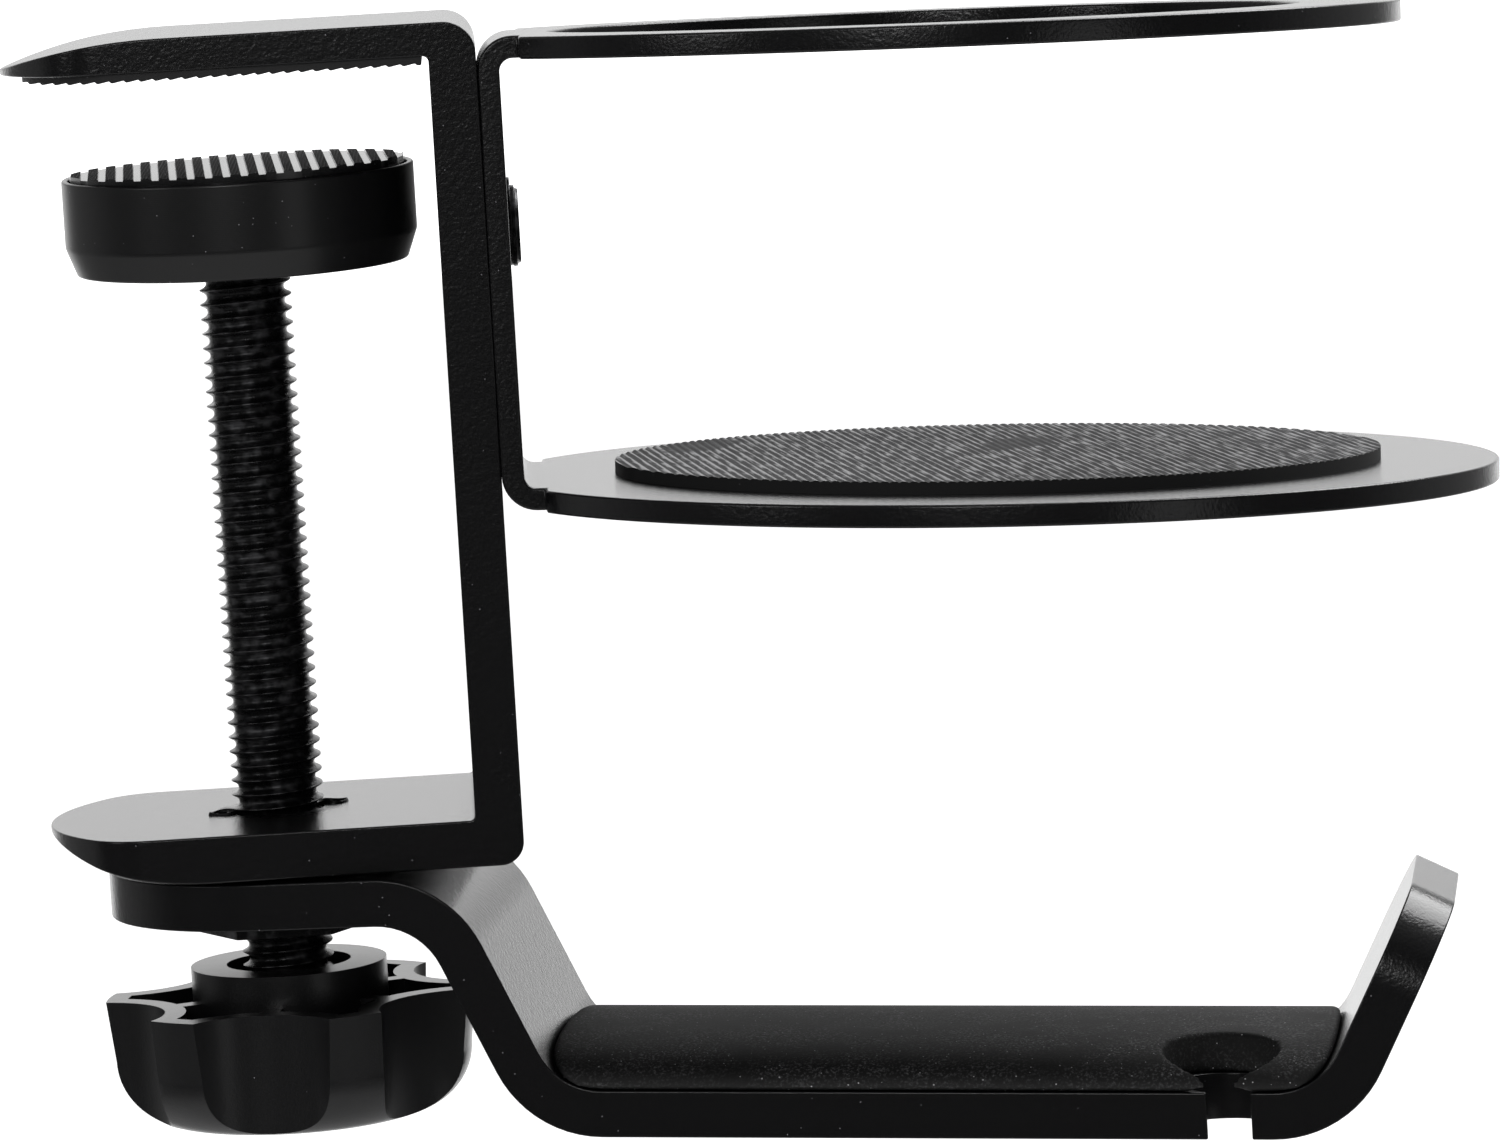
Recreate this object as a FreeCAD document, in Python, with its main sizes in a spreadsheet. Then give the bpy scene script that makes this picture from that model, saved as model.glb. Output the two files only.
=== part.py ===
import FreeCAD, Part
import math
import os
import re

import Sketcher

# A clamp for the edge of a desk, with a cup holder bolted to its back and a padded
# headphone hook that swivels under its lower jaw.
#
# Frame: +Z is up, +X runs from the clamp screw towards the cup, +Y is across the strap.
# The origin lies on the underside of the upper jaw's rubber pad, on the screw's axis,
# which is where the desk top's upper face meets the product.

VECTOR = FreeCAD.Vector
doc = FreeCAD.newDocument("DeskClampHook")

# name, value (mm or degrees), what it sizes
DIMENSIONS = [
    ("strap_width", 30, "width of the clamp's bar"),
    ("strap_thick", 4, "back and lower jaw of the clamp"),
    ("top_jaw_thick", 2.8, "upper jaw of the clamp"),
    ("clamp_opening", 64, "jaw pad to lower jaw"),
    ("throat_depth", 17, "screw axis to the clamp's back"),
    ("jaw_reach", 19.7, "screw axis to the jaws' noses"),
    ("nose_run", 14, "length over which a jaw thins out"),
    ("nose_edge", 0.5, "thickness of a jaw at its nose"),
    ("nose_radius", 21, "nose seen from above"),
    ("nose_corner", 6, "corner beside the nose"),
    ("crown_bend", 2.7, "outer corner above the back"),
    ("foot_bend", 2, "outer corner below the back"),
    ("throat_corner", 0.5, "inner corners of the clamp"),
    ("jaw_pad_thick", 0.75, "rubber under the upper jaw"),
    ("jaw_pad_margin", 0.5, "rubber's edge inside the jaw's edge"),
    ("jaw_pad_tip", 1.9, "rubber's end behind the nose"),
    ("jaw_pad_heel", 0.6, "rubber's end before the clamp's back"),
    ("running_gap", 0.05, "clearance of faces that turn on each other"),
    ("washer_thick", 0.3, "nylon washer over the hook"),
    ("washer_dia", 20, "nylon washer over the hook"),
    ("sleeve_dia", 11, "bush where it passes hook and jaw"),
    ("flange_flats", 14, "bush's hexagon"),
    ("flange_thick", 1.85, "bush's hexagon"),
    ("stake_reach", 6, "screw axis to the end of a staking mark"),
    ("stake_width", 1.8, "staking mark"),
    ("stake_depth", 0.5, "staking mark"),
    ("stake_turn", 18, "direction of the first mark, degrees"),
    ("stake_overlap", 0.5, "how far a mark in the jaw starts inside the bush's hole"),
    ("thread_dia", 7.9, "clamp screw, over its crests"),
    ("thread_depth", 0.6, "crest to root"),
    ("thread_pitch", 1.25, "clamp screw"),
    ("thread_gap", 0.05, "crest to the bush's bore, radial"),
    ("neck_dia", 4.4, "screw under its ball"),
    ("ball_dia", 6.4, "ball on the screw"),
    ("liner_wall", 0.5, "nylon cap over the ball"),
    ("lip_gap", 0.1, "ball to the cup's closed-in lip"),
    ("lip_drop", 1.7, "ball centre to the lip"),
    ("cup_dia", 30.2, "pressure cup"),
    ("cup_above", 5.2, "ball centre to the cup's rim"),
    ("cup_side", 5.4, "straight side of the cup"),
    ("cup_bevel_drop", 2.45, "bevel under the side, height"),
    ("cup_bevel_run", 0.9, "bevel under the side, width"),
    ("cup_mouth_dia", 8.8, "hole in the cup's underside"),
    ("cup_recess", 0.9, "depth of the seat for the rubber"),
    ("cup_rim_wall", 0.55, "lip around the rubber"),
    ("rubber_proud", 0.5, "rubber above the cup's rim"),
    ("rubber_fit", 0.1, "rubber to the lip around it"),
    ("grip_gap", 8.4, "jaw pad to the rubber, as modelled"),
    ("pad_tilt", 2.2, "how far the cup leans forward, degrees"),
    ("tilt_limit", 6, "how far the cup can lean either way, degrees"),
    ("neck_run", 0.75, "thread's start below the cup"),
    ("knob_gap", 3.15, "bush to the knob's hub"),
    ("knob_dia", 32.1, "over the lobes"),
    ("knob_depth", 10.6, "rim to underside"),
    ("knob_side", 5.3, "height of the lobes' flanks"),
    ("knob_draft", 0.6, "how far a flank leans in"),
    ("knob_wall", 1.8, "around the pockets"),
    ("knob_floor", 2.8, "under the pockets"),
    ("valley_radius", 12, "screw axis to a finger groove"),
    ("scallop_radius", 7.4, "finger groove"),
    ("rib_width", 1.6, "web between two pockets"),
    ("hub_dia", 17, "boss in the knob"),
    ("hub_rise", 2.7, "boss above the rim"),
    ("insert_dia", 10.8, "steel insert and the hub's bore"),
    ("insert_depth", 2.9, "hub's mouth to the insert"),
    ("insert_length", 7.4, "steel insert"),
    ("knob_turn", 21.5, "where the finger grooves point, degrees"),
    ("hook_width", 30, "hook's bar"),
    ("hook_thick", 4, "hook's bar"),
    ("hook_bend", 6, "inside radius of the hook's bends"),
    ("hook_turn", 9, "how far the hook is swung forward, degrees"),
    ("plate_run", 14.2, "screw axis to the riser's corner"),
    ("riser_drop", 18.5, "height of the riser"),
    ("riser_angle", 65.6, "riser below level, degrees"),
    ("arm_span", 69.2, "length of the arm, corner to corner"),
    ("arm_droop", 2.2, "arm below level, degrees"),
    ("tip_rise", 18.6, "height of the turned-up end"),
    ("tip_angle", 63, "turned-up end above level, degrees"),
    ("tip_corner", 8, "corners of the turned-up end"),
    ("slot_setback", 10, "keyhole to the turned-up end's corner"),
    ("slot_neck", 3.7, "keyhole's way in"),
    ("slot_dia", 9.2, "keyhole's eye"),
    ("slot_eye", 4.8, "arm's edge to the eye's centre"),
    ("cushion_rise", 3.6, "cushion above the arm"),
    ("cushion_gap", 0.5, "cushion's ends to riser and turned-up end"),
    ("cushion_slot", 3, "way into the eye through the cushion"),
    ("holder_thick", 1.9, "cup holder's sheet"),
    ("holder_width", 30, "cup holder's back plate"),
    ("holder_clock", 1.2, "cup holder turned about its screw, degrees"),
    ("holder_bend", 1.1, "inside radius of the cup holder's bends"),
    ("screw_drop", 14.8, "jaw pad's underside to the cup holder's screw"),
    ("ring_rise", 16.6, "screw to the ring's upper face"),
    ("ring_droop", 1.1, "ring below level, degrees"),
    ("ring_place", 38.5, "clamp's back to the ring's centre"),
    ("ring_dia", 82, "ring, outside"),
    ("cup_hole_dia", 64.6, "ring, inside"),
    ("platform_drop", 23.35, "screw to the platform's underside"),
    ("platform_droop", 2.1, "platform below level, degrees"),
    ("platform_place", 42.8, "clamp's back to the platform's centre"),
    ("platform_dia", 86.4, "platform"),
    ("neck_length", 3.6, "bent flange before ring and platform widen"),
    ("disc_overlap", 0.5, "how far the flange runs into them"),
    ("mat_dia", 66.1, "rubber mat"),
    ("mat_thick", 1.1, "rubber mat"),
    ("holder_screw_dia", 4, "cup holder's screw"),
    ("holder_screw_end", 0.3, "its end, short of the clamp's inner face"),
    ("holder_head_dia", 7, "its head"),
    ("holder_head_thick", 0.65, "its head"),
    ("holder_drive", 2.5, "its hexagon socket"),
    ("holder_drive_depth", 1.5, "its hexagon socket"),
    ("holder_washer_dia", 7.6, "its washer"),
    ("holder_washer_thick", 0.3, "its washer"),
    ("holder_washer_shift", 0.4, "how far the washer has slid up"),
    ("overcut", 2, "how far cutting outlines reach past the piece"),
]

sheet = doc.addObject("Spreadsheet::Sheet", "Dims")
for row, (name, value, meaning) in enumerate(DIMENSIONS, start=1):
    sheet.set(f"A{row}", name)
    sheet.set(f"B{row}", str(value))
    sheet.setAlias(f"B{row}", name)
    sheet.set(f"C{row}", meaning)
doc.recompute()

NAMES = {name for name, value, meaning in DIMENSIONS}
nodes = []


# ---- expressions -----------------------------------------------------------------------

def bound(expression):
    """An expression with the sheet put before each of its names."""
    def prefix(match):
        word = match.group(0)
        return f"Dims.{word}" if word in NAMES else word
    return re.sub(r"[a-z][a-z_]*", prefix, str(expression))


def measure(expression):
    """The number that an expression in the sheet's names comes to."""
    value = sheet.evalExpression(bound(expression))
    return float(getattr(value, "Value", value))


def offset_corner(corner, thickness, angle_in, angle_out):
    """The corner on the other face of a bent bar, above the given one."""
    x, z = corner
    share = f"{thickness} / (1 + cos({angle_out} - ({angle_in})))"
    moved_x = f"({x} - {share} * (sin({angle_in}) + sin({angle_out})))"
    moved_z = f"({z} + {share} * (cos({angle_in}) + cos({angle_out})))"
    return moved_x, moved_z


def along(corner, distance, angle):
    """A point at a distance from a corner, in the direction of an angle."""
    x, z = corner
    return f"({x} + ({distance}) * cos({angle}))", f"({z} + ({distance}) * sin({angle}))"


# ---- features --------------------------------------------------------------------------

def new_body(label):
    body = doc.addObject("PartDesign::Body", label)
    body.Label = label
    nodes.append(body)
    return body


def new_sketch(body, role="XZ_Plane", base=None, axis=None, angle=None):
    """A sketch on one of the body's own planes, moved by base and turned about axis."""
    plane = next(item for item in body.Origin.OriginFeatures if item.Role == role)
    sketch = body.newObject("Sketcher::SketchObject", f"{body.Name}_sketch")
    sketch.AttachmentSupport = [(plane, "")]
    sketch.MapMode = "FlatFace"
    if axis:
        sketch.AttachmentOffset = FreeCAD.Placement(VECTOR(), FreeCAD.Rotation(VECTOR(*axis), 1))
        sketch.setExpression("AttachmentOffset.Rotation.Angle", bound(f"({angle}) * 1deg"))
    for letter, distance in (base or {}).items():
        sketch.setExpression(f"AttachmentOffset.Base.{letter}", bound(f"({distance}) * 1mm"))
    return sketch


def fix(sketch, edge, end, x, y):
    """Holds a point of a sketch at a place given by two expressions."""
    for kind, expression in (("DistanceX", x), ("DistanceY", y)):
        constraint = Sketcher.Constraint(kind, -1, 1, edge, end, measure(expression))
        index = sketch.addConstraint(constraint)
        sketch.setExpression(f"Constraints[{index}]", bound(expression))


def outline(sketch, corners):
    """A closed outline through corners. A corner is (x, y), or (x, y, radius, "left") or
    "right" where an arc with its centre on that side leads from it to the next corner."""
    points = [VECTOR(measure(corner[0]), measure(corner[1]), 0) for corner in corners]
    starts, ends = [], []
    for number, corner in enumerate(corners):
        here, there = points[number], points[(number + 1) % len(points)]
        if len(corner) == 2:
            edge = sketch.addGeometry(Part.LineSegment(here, there), False)
            starts.append((edge, 1))
            ends.append((edge, 2))
            continue
        radius, side = corner[2], corner[3]
        size = measure(radius)
        chord = there.sub(here)
        reach = math.sqrt(max(size ** 2 - (chord.Length / 2) ** 2, 0))
        normal = VECTOR(-chord.y, chord.x, 0).normalize()
        centre = here.add(chord.multiply(0.5)).add(normal * (reach if side == "left" else -reach))
        first, last = (here, there) if side == "left" else (there, here)
        circle = Part.Circle(centre, VECTOR(0, 0, 1), size)
        span = [math.atan2(point.y - centre.y, point.x - centre.x) for point in (first, last)]
        edge = sketch.addGeometry(Part.ArcOfCircle(circle, span[0], span[1]), False)
        starts.append((edge, 1 if side == "left" else 2))
        ends.append((edge, 2 if side == "left" else 1))
        index = sketch.addConstraint(Sketcher.Constraint("Radius", edge, size))
        sketch.setExpression(f"Constraints[{index}]", bound(radius))
    for number, corner in enumerate(corners):
        sketch.addConstraint(Sketcher.Constraint("Coincident", *ends[number - 1], *starts[number]))
        fix(sketch, *starts[number], corner[0], corner[1])


def ring(sketch, x, y, diameter):
    """A circle of a sketch."""
    centre = VECTOR(measure(x), measure(y), 0)
    size = measure(diameter)
    edge = sketch.addGeometry(Part.Circle(centre, VECTOR(0, 0, 1), size / 2), False)
    fix(sketch, edge, 3, x, y)
    index = sketch.addConstraint(Sketcher.Constraint("Diameter", edge, size))
    sketch.setExpression(f"Constraints[{index}]", bound(diameter))


def volume(body):
    return body.Shape.Volume if body.Tip else 0


def pad(body, sketch, length, symmetric=False, downwards=False):
    before = volume(body)
    feature = body.newObject("PartDesign::Pad", f"{body.Name}_pad")
    feature.Profile = sketch
    feature.Length = measure(length)
    feature.setExpression("Length", bound(length))
    feature.SideType = "Symmetric" if symmetric else "One side"
    feature.Reversed = downwards
    doc.recompute()
    if volume(body) <= before:
        raise ValueError(f"{body.Label}: a pad added nothing")
    return feature


def pocket(body, sketch, length, symmetric=False):
    """Cuts against the sketch's normal, or to both sides."""
    before = volume(body)
    feature = body.newObject("PartDesign::Pocket", f"{body.Name}_pocket")
    feature.Profile = sketch
    feature.Length = measure(length)
    feature.setExpression("Length", bound(length))
    feature.SideType = "Symmetric" if symmetric else "One side"
    doc.recompute()
    if volume(body) >= before:
        raise ValueError(f"{body.Label}: a pocket cut nothing")
    return feature


def revolve(body, sketch, role="Z_Axis"):
    axis = next(item for item in body.Origin.OriginFeatures if item.Role == role)
    feature = body.newObject("PartDesign::Revolution", f"{body.Name}_revolution")
    feature.Profile = sketch
    feature.ReferenceAxis = (axis, [""])
    feature.Angle = 360
    doc.recompute()
    return feature


def pattern(body, features, count):
    """Repeats features around the Z axis."""
    before = volume(body)
    axis = next(item for item in body.Origin.OriginFeatures if item.Role == "Z_Axis")
    feature = body.newObject("PartDesign::PolarPattern", f"{body.Name}_pattern")
    feature.Originals = features
    feature.Axis = (axis, [""])
    feature.Angle = 360
    feature.Occurrences = count
    body.Tip = feature
    doc.recompute()
    if abs(volume(body) - before) < 1:
        raise ValueError(f"{body.Label}: a pattern changed nothing")
    return feature


def fillet(body, radius, places):
    """Rounds the edges whose middles lie at the given places."""
    base = body.Tip
    edges = []
    for x, y, z in places:
        place = VECTOR(measure(x), measure(y), measure(z))
        near = [number for number, edge in enumerate(base.Shape.Edges, start=1)
                if edge.CenterOfMass.distanceToPoint(place) < 0.02]
        if len(near) != 1:
            raise ValueError(f"{body.Label}: {len(near)} edges at {place}")
        edges.append(f"Edge{near[0]}")
    feature = body.newObject("PartDesign::Fillet", f"{body.Name}_fillet")
    feature.Base = (base, edges)
    feature.Radius = measure(radius)
    feature.setExpression("Radius", bound(radius))
    doc.recompute()
    return feature


def place(node, base=None, axis=None, angle=None):
    """Places a node, with its rotation and height bound to the sheet."""
    if axis:
        node.Placement = FreeCAD.Placement(VECTOR(), FreeCAD.Rotation(VECTOR(*axis), 1))
        node.setExpression("Placement.Rotation.Angle", bound(f"({angle}) * 1deg"))
    for letter, distance in (base or {}).items():
        node.setExpression(f"Placement.Base.{letter}", bound(f"({distance}) * 1mm"))


# ---- levels and places that several pieces share -------------------------------------------

JAW_TOP = "(-clamp_opening)"
JAW_BOTTOM = "(-clamp_opening - strap_thick)"
WASHER_BOTTOM = f"({JAW_BOTTOM} - washer_thick)"
HOOK_TOP = f"({WASHER_BOTTOM} - running_gap)"
HOOK_BOTTOM = f"({HOOK_TOP} - hook_thick)"
FLANGE_TOP = f"({HOOK_BOTTOM} - running_gap)"
FLANGE_BOTTOM = f"({FLANGE_TOP} - flange_thick)"
HUB_TOP = f"({FLANGE_BOTTOM} - knob_gap)"
KNOB_RIM = f"({HUB_TOP} - hub_rise)"
KNOB_BOTTOM = f"({KNOB_RIM} - knob_depth)"
INSERT_TOP = f"({HUB_TOP} - insert_depth)"
INSERT_BOTTOM = f"({INSERT_TOP} - insert_length)"
BALL_CENTRE = "(-grip_gap - cup_above - rubber_proud)"
CUP_BOTTOM = "(cup_above - cup_side - cup_bevel_drop)"
BACK_FACE = "(throat_depth + strap_thick)"
HOLDER_FACE = f"({BACK_FACE} + holder_thick)"
BORE_DIA = "(thread_dia + 2 * thread_gap)"


# ---- the clamp -------------------------------------------------------------------------

def nose_outline(reach, width, radius, corner, left):
    """A jaw's plan from its nose to the line x = left: a wide arc with rounded corners."""
    half = f"({width} / 2)"
    centre = f"(-({reach}) + {radius})"
    inner = f"sqrt(({radius} - {corner})^2 - ({half} - {corner})^2)"
    corner_x = f"({centre} - {inner})"
    meet_x = f"({centre} - {inner} * {radius} / ({radius} - {corner}))"
    meet_y = f"(({half} - {corner}) * {radius} / ({radius} - {corner}))"
    return [
        (left, half),
        (corner_x, half, corner, "left"),
        (meet_x, meet_y, radius, "left"),
        (meet_x, f"(-{meet_y})", corner, "left"),
        (corner_x, f"(-{half})"),
        (left, f"(-{half})"),
    ]


def stake_marks(body, inner):
    """Two chisel marks that spread the bush's end into the jaw."""
    for turn in ("stake_turn", "(stake_turn + 180)"):
        sketch = new_sketch(body, "XY_Plane", {"z": JAW_TOP}, (0, 0, 1), turn)
        outline(sketch, [
            (inner, "(-stake_width / 2)"),
            ("(stake_reach - stake_width / 2)", "(-stake_width / 2)"),
            ("stake_reach", "0"),
            ("(stake_reach - stake_width / 2)", "(stake_width / 2)"),
            (inner, "(stake_width / 2)"),
        ])
        pocket(body, sketch, "stake_depth")


def make_clamp_frame():
    """A C of steel bar, thinned towards both noses."""
    body = new_body("clamp_frame")
    top = "(jaw_pad_thick + top_jaw_thick)"
    top_drop = "(top_jaw_thick - nose_edge)"
    top_arc = f"((nose_run^2 + {top_drop}^2) / (2 * {top_drop}))"
    foot_drop = "(strap_thick - nose_edge)"
    foot_arc = f"((nose_run^2 + {foot_drop}^2) / (2 * {foot_drop}))"
    run_end = "(nose_run - jaw_reach)"
    profile = new_sketch(body)
    outline(profile, [
        ("(-jaw_reach)", "jaw_pad_thick"),
        ("throat_depth", "jaw_pad_thick"),
        ("throat_depth", JAW_TOP),
        ("(-jaw_reach)", JAW_TOP),
        ("(-jaw_reach)", f"({JAW_TOP} - nose_edge)", foot_arc, "left"),
        (run_end, JAW_BOTTOM),
        (BACK_FACE, JAW_BOTTOM),
        (BACK_FACE, top),
        (run_end, top, top_arc, "left"),
        ("(-jaw_reach)", "(jaw_pad_thick + nose_edge)"),
    ])
    pad(body, profile, "strap_width", symmetric=True)
    fillet(body, "crown_bend", [(BACK_FACE, "0", top)])
    fillet(body, "foot_bend", [(BACK_FACE, "0", JAW_BOTTOM)])
    fillet(body, "throat_corner", [
        ("throat_depth", "0", "jaw_pad_thick"),
        ("throat_depth", "0", JAW_TOP),
    ])

    noses = new_sketch(body, "XY_Plane")
    cut = nose_outline("jaw_reach", "strap_width", "nose_radius", "nose_corner", "0")
    outside = "(strap_width / 2 + overcut)"
    outline(noses, cut + [
        ("0", f"(-{outside})"),
        ("(-jaw_reach - overcut)", f"(-{outside})"),
        ("(-jaw_reach - overcut)", outside),
        ("0", outside),
    ])
    pocket(body, noses, "(3 * (clamp_opening + strap_thick))", symmetric=True)

    hole = new_sketch(body, "XY_Plane", {"z": JAW_TOP})
    ring(hole, "0", "0", "sleeve_dia")
    pocket(body, hole, "(strap_thick + overcut)")
    stake_marks(body, "(sleeve_dia / 2 - stake_overlap)")

    tapped = new_sketch(body, "YZ_Plane", {"z": BACK_FACE})
    ring(tapped, "0", "(-screw_drop)", "holder_screw_dia")
    pocket(body, tapped, "(strap_thick + overcut)")


def make_jaw_pad():
    """Rubber sheet bonded under the upper jaw, cut to the jaw's plan."""
    body = new_body("jaw_pad")
    plan = new_sketch(body, "XY_Plane")
    outline(plan, nose_outline(
        "(jaw_reach - jaw_pad_tip)", "(strap_width - 2 * jaw_pad_margin)",
        "nose_radius", "nose_corner", "(throat_depth - jaw_pad_heel)"))
    pad(body, plan, "jaw_pad_thick")


def make_swivel_washer():
    body = new_body("swivel_washer")
    plan = new_sketch(body, "XY_Plane", {"z": WASHER_BOTTOM})
    ring(plan, "0", "0", "washer_dia")
    ring(plan, "0", "0", "sleeve_dia")
    pad(body, plan, "washer_thick")


def make_threaded_bush():
    """Hexagon with a sleeve that carries the hook and is staked into the lower jaw."""
    body = new_body("threaded_bush")
    sleeve = new_sketch(body, "XY_Plane", {"z": FLANGE_BOTTOM})
    ring(sleeve, "0", "0", "sleeve_dia")
    pad(body, sleeve, f"({JAW_TOP} - {FLANGE_BOTTOM})")
    hexagon = new_sketch(body, "XY_Plane", {"z": FLANGE_BOTTOM})
    outline(hexagon, [
        (f"(flange_flats / sqrt(3) * cos({60 * side}))", f"(flange_flats / sqrt(3) * sin({60 * side}))")
        for side in range(6)
    ])
    pad(body, hexagon, "flange_thick")
    bore = new_sketch(body, "XY_Plane", {"z": JAW_TOP})
    ring(bore, "0", "0", BORE_DIA)
    pocket(body, bore, f"({JAW_TOP} - {FLANGE_BOTTOM} + overcut)")
    stake_marks(body, f"({BORE_DIA} / 2 - stake_overlap)")


# ---- the screw and its knob --------------------------------------------------------------

def make_clamp_screw():
    """M8 screw. Its thread stands as rings of the thread's own pitch, depth and flanks, and a
    turned ball tops it."""
    ball = measure("ball_dia / 2")
    neck = measure("neck_dia / 2")
    crest = measure("thread_dia / 2")
    root = measure("thread_dia / 2 - thread_depth")
    pitch = measure("thread_pitch")
    centre = measure(BALL_CENTRE)
    start = measure(f"{BALL_CENTRE} + {CUP_BOTTOM} - neck_run")
    shank = measure(INSERT_TOP)
    end = measure(INSERT_BOTTOM)
    turns = int((start - shank) / pitch)
    flat = pitch / 8
    drop = math.sqrt(ball ** 2 - neck ** 2)

    points = [VECTOR(neck, 0, centre - drop), VECTOR(neck, 0, start), VECTOR(root, 0, start)]
    for turn in range(turns):
        level = start - turn * pitch
        points.append(VECTOR(root, 0, level - flat))
        points.append(VECTOR(crest, 0, level - pitch / 2))
        points.append(VECTOR(crest, 0, level - pitch / 2 - flat))
        points.append(VECTOR(root, 0, level - pitch))
    points.append(VECTOR(root, 0, shank))
    points.append(VECTOR(crest, 0, shank))
    points.append(VECTOR(crest, 0, end))
    points.append(VECTOR(0, 0, end))
    top = VECTOR(0, 0, centre + ball)
    side = VECTOR(ball, 0, centre)
    edges = [Part.Arc(top, side, points[0]).toShape(), Part.makePolygon(points + [top])]
    wire = Part.Wire(edges[:1] + edges[1].Edges)
    screw = doc.addObject("Part::Feature", "clamp_screw")
    screw.Label = "clamp_screw"
    screw.Shape = Part.Face(wire).revolve(VECTOR(), VECTOR(0, 0, 1), 360)
    nodes.append(screw)


def mirrored(point):
    """A point of the knob's pocket on the other side of its lobe, which points at 30 degrees."""
    x, y = point
    return f"({x} * cos(60) + {y} * sin(60))", f"({x} * sin(60) - {y} * cos(60))"


def make_knob():
    """Moulded six-lobed knob with open pockets between hub and lobes."""
    body = new_body("knob")
    radius = "(knob_dia / 2)"
    edge = "(knob_depth - knob_side)"
    profile = new_sketch(body)
    outline(profile, [
        ("0", KNOB_RIM),
        ("0", KNOB_BOTTOM),
        (f"({radius} - knob_draft - {edge})", KNOB_BOTTOM, edge, "left"),
        (f"({radius} - knob_draft)", f"({KNOB_RIM} - knob_side)"),
        (radius, KNOB_RIM),
    ])
    revolve(body, profile)

    centre = "(valley_radius + scallop_radius)"
    groove = new_sketch(body, "XY_Plane", {"z": KNOB_RIM})
    ring(groove, centre, "0", "(2 * scallop_radius)")
    first_groove = pocket(body, groove, "(knob_depth + overcut)")
    pattern(body, [first_groove], 6)

    half_rib = "(rib_width / 2)"
    wall_arc = "(scallop_radius + knob_wall)"
    lobe_arc = f"({radius} - knob_wall)"
    hub_arc = "(hub_dia / 2)"
    reach = f"acos(({lobe_arc}^2 + {centre}^2 - {wall_arc}^2) / (2 * {lobe_arc} * {centre}))"
    at_hub = (f"sqrt({hub_arc}^2 - {half_rib}^2)", half_rib)
    at_wall = (f"({centre} - sqrt({wall_arc}^2 - {half_rib}^2))", half_rib)
    at_lobe = (f"({lobe_arc} * cos({reach}))", f"({lobe_arc} * sin({reach}))")
    hollow = new_sketch(body, "XY_Plane", {"z": KNOB_RIM})
    outline(hollow, [
        at_hub,
        (*at_wall, wall_arc, "right"),
        (*at_lobe, lobe_arc, "left"),
        (*mirrored(at_lobe), wall_arc, "right"),
        mirrored(at_wall),
        (*mirrored(at_hub), hub_arc, "right"),
    ])
    first_hollow = pocket(body, hollow, "(knob_depth - knob_floor)")
    pattern(body, [first_hollow], 6)

    hub = new_sketch(body, "XY_Plane", {"z": KNOB_RIM})
    ring(hub, "0", "0", "hub_dia")
    pad(body, hub, "hub_rise")
    bore = new_sketch(body, "XY_Plane", {"z": HUB_TOP})
    ring(bore, "0", "0", "insert_dia")
    pocket(body, bore, "(insert_depth + insert_length)")
    place(body, axis=(0, 0, 1), angle="knob_turn")


def make_knob_insert():
    """Steel insert moulded into the hub, which grips the screw's end."""
    body = new_body("knob_insert")
    plan = new_sketch(body, "XY_Plane", {"z": INSERT_BOTTOM})
    ring(plan, "0", "0", "insert_dia")
    ring(plan, "0", "0", "thread_dia")
    pad(body, plan, "insert_length")


# ---- the pressure cup: heights are measured from the centre of the screw's ball ---------------

def make_ball_liner():
    """Nylon cap between the ball and the cup, which keeps the cup from turning with the screw.
    Its skirt stays above the socket's step when the cup leans."""
    body = new_body("ball_liner")
    inside = "(ball_dia / 2 + running_gap)"
    outside = f"({inside} + liner_wall)"
    skirt = f"(2 * running_gap + ({outside} + running_gap) * sin(tilt_limit))"
    profile = new_sketch(body)
    outline(profile, [
        ("0", inside, inside, "right"),
        (f"sqrt({inside}^2 - {skirt}^2)", skirt),
        (f"sqrt({outside}^2 - {skirt}^2)", skirt, outside, "left"),
        ("0", outside),
    ])
    revolve(body, profile)
    place(body, {"z": BALL_CENTRE})


def make_pressure_cup():
    """Turned cup with its lip closed in under the ball."""
    body = new_body("pressure_cup")
    socket = "(ball_dia / 2 + liner_wall + 2 * running_gap)"
    lower = "(ball_dia / 2 + lip_gap)"
    floor = "(cup_above - cup_recess)"
    radius = "(cup_dia / 2)"
    recess = f"({radius} - cup_rim_wall)"
    profile = new_sketch(body)
    outline(profile, [
        ("0", floor),
        ("0", socket, socket, "right"),
        (socket, "0"),
        (lower, "0", lower, "right"),
        (f"sqrt({lower}^2 - lip_drop^2)", "(-lip_drop)"),
        ("(cup_mouth_dia / 2)", CUP_BOTTOM),
        (f"({radius} - cup_bevel_run)", CUP_BOTTOM),
        (radius, "(cup_above - cup_side)"),
        (radius, "cup_above"),
        (recess, "cup_above"),
        (recess, floor),
    ])
    revolve(body, profile)
    place(body, {"z": BALL_CENTRE}, (1, 0, 0), "pad_tilt")


def make_pressure_pad():
    """Rubber disc glued into the cup."""
    body = new_body("pressure_pad")
    plan = new_sketch(body, "XY_Plane", {"z": "(cup_above - cup_recess)"})
    ring(plan, "0", "0", "(cup_dia - 2 * cup_rim_wall - 2 * rubber_fit)")
    pad(body, plan, "(cup_recess + rubber_proud)")
    place(body, {"z": BALL_CENTRE}, (1, 0, 0), "pad_tilt")


# ---- the hook, drawn straight along +X and then swung about the screw's axis -------------------

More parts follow.
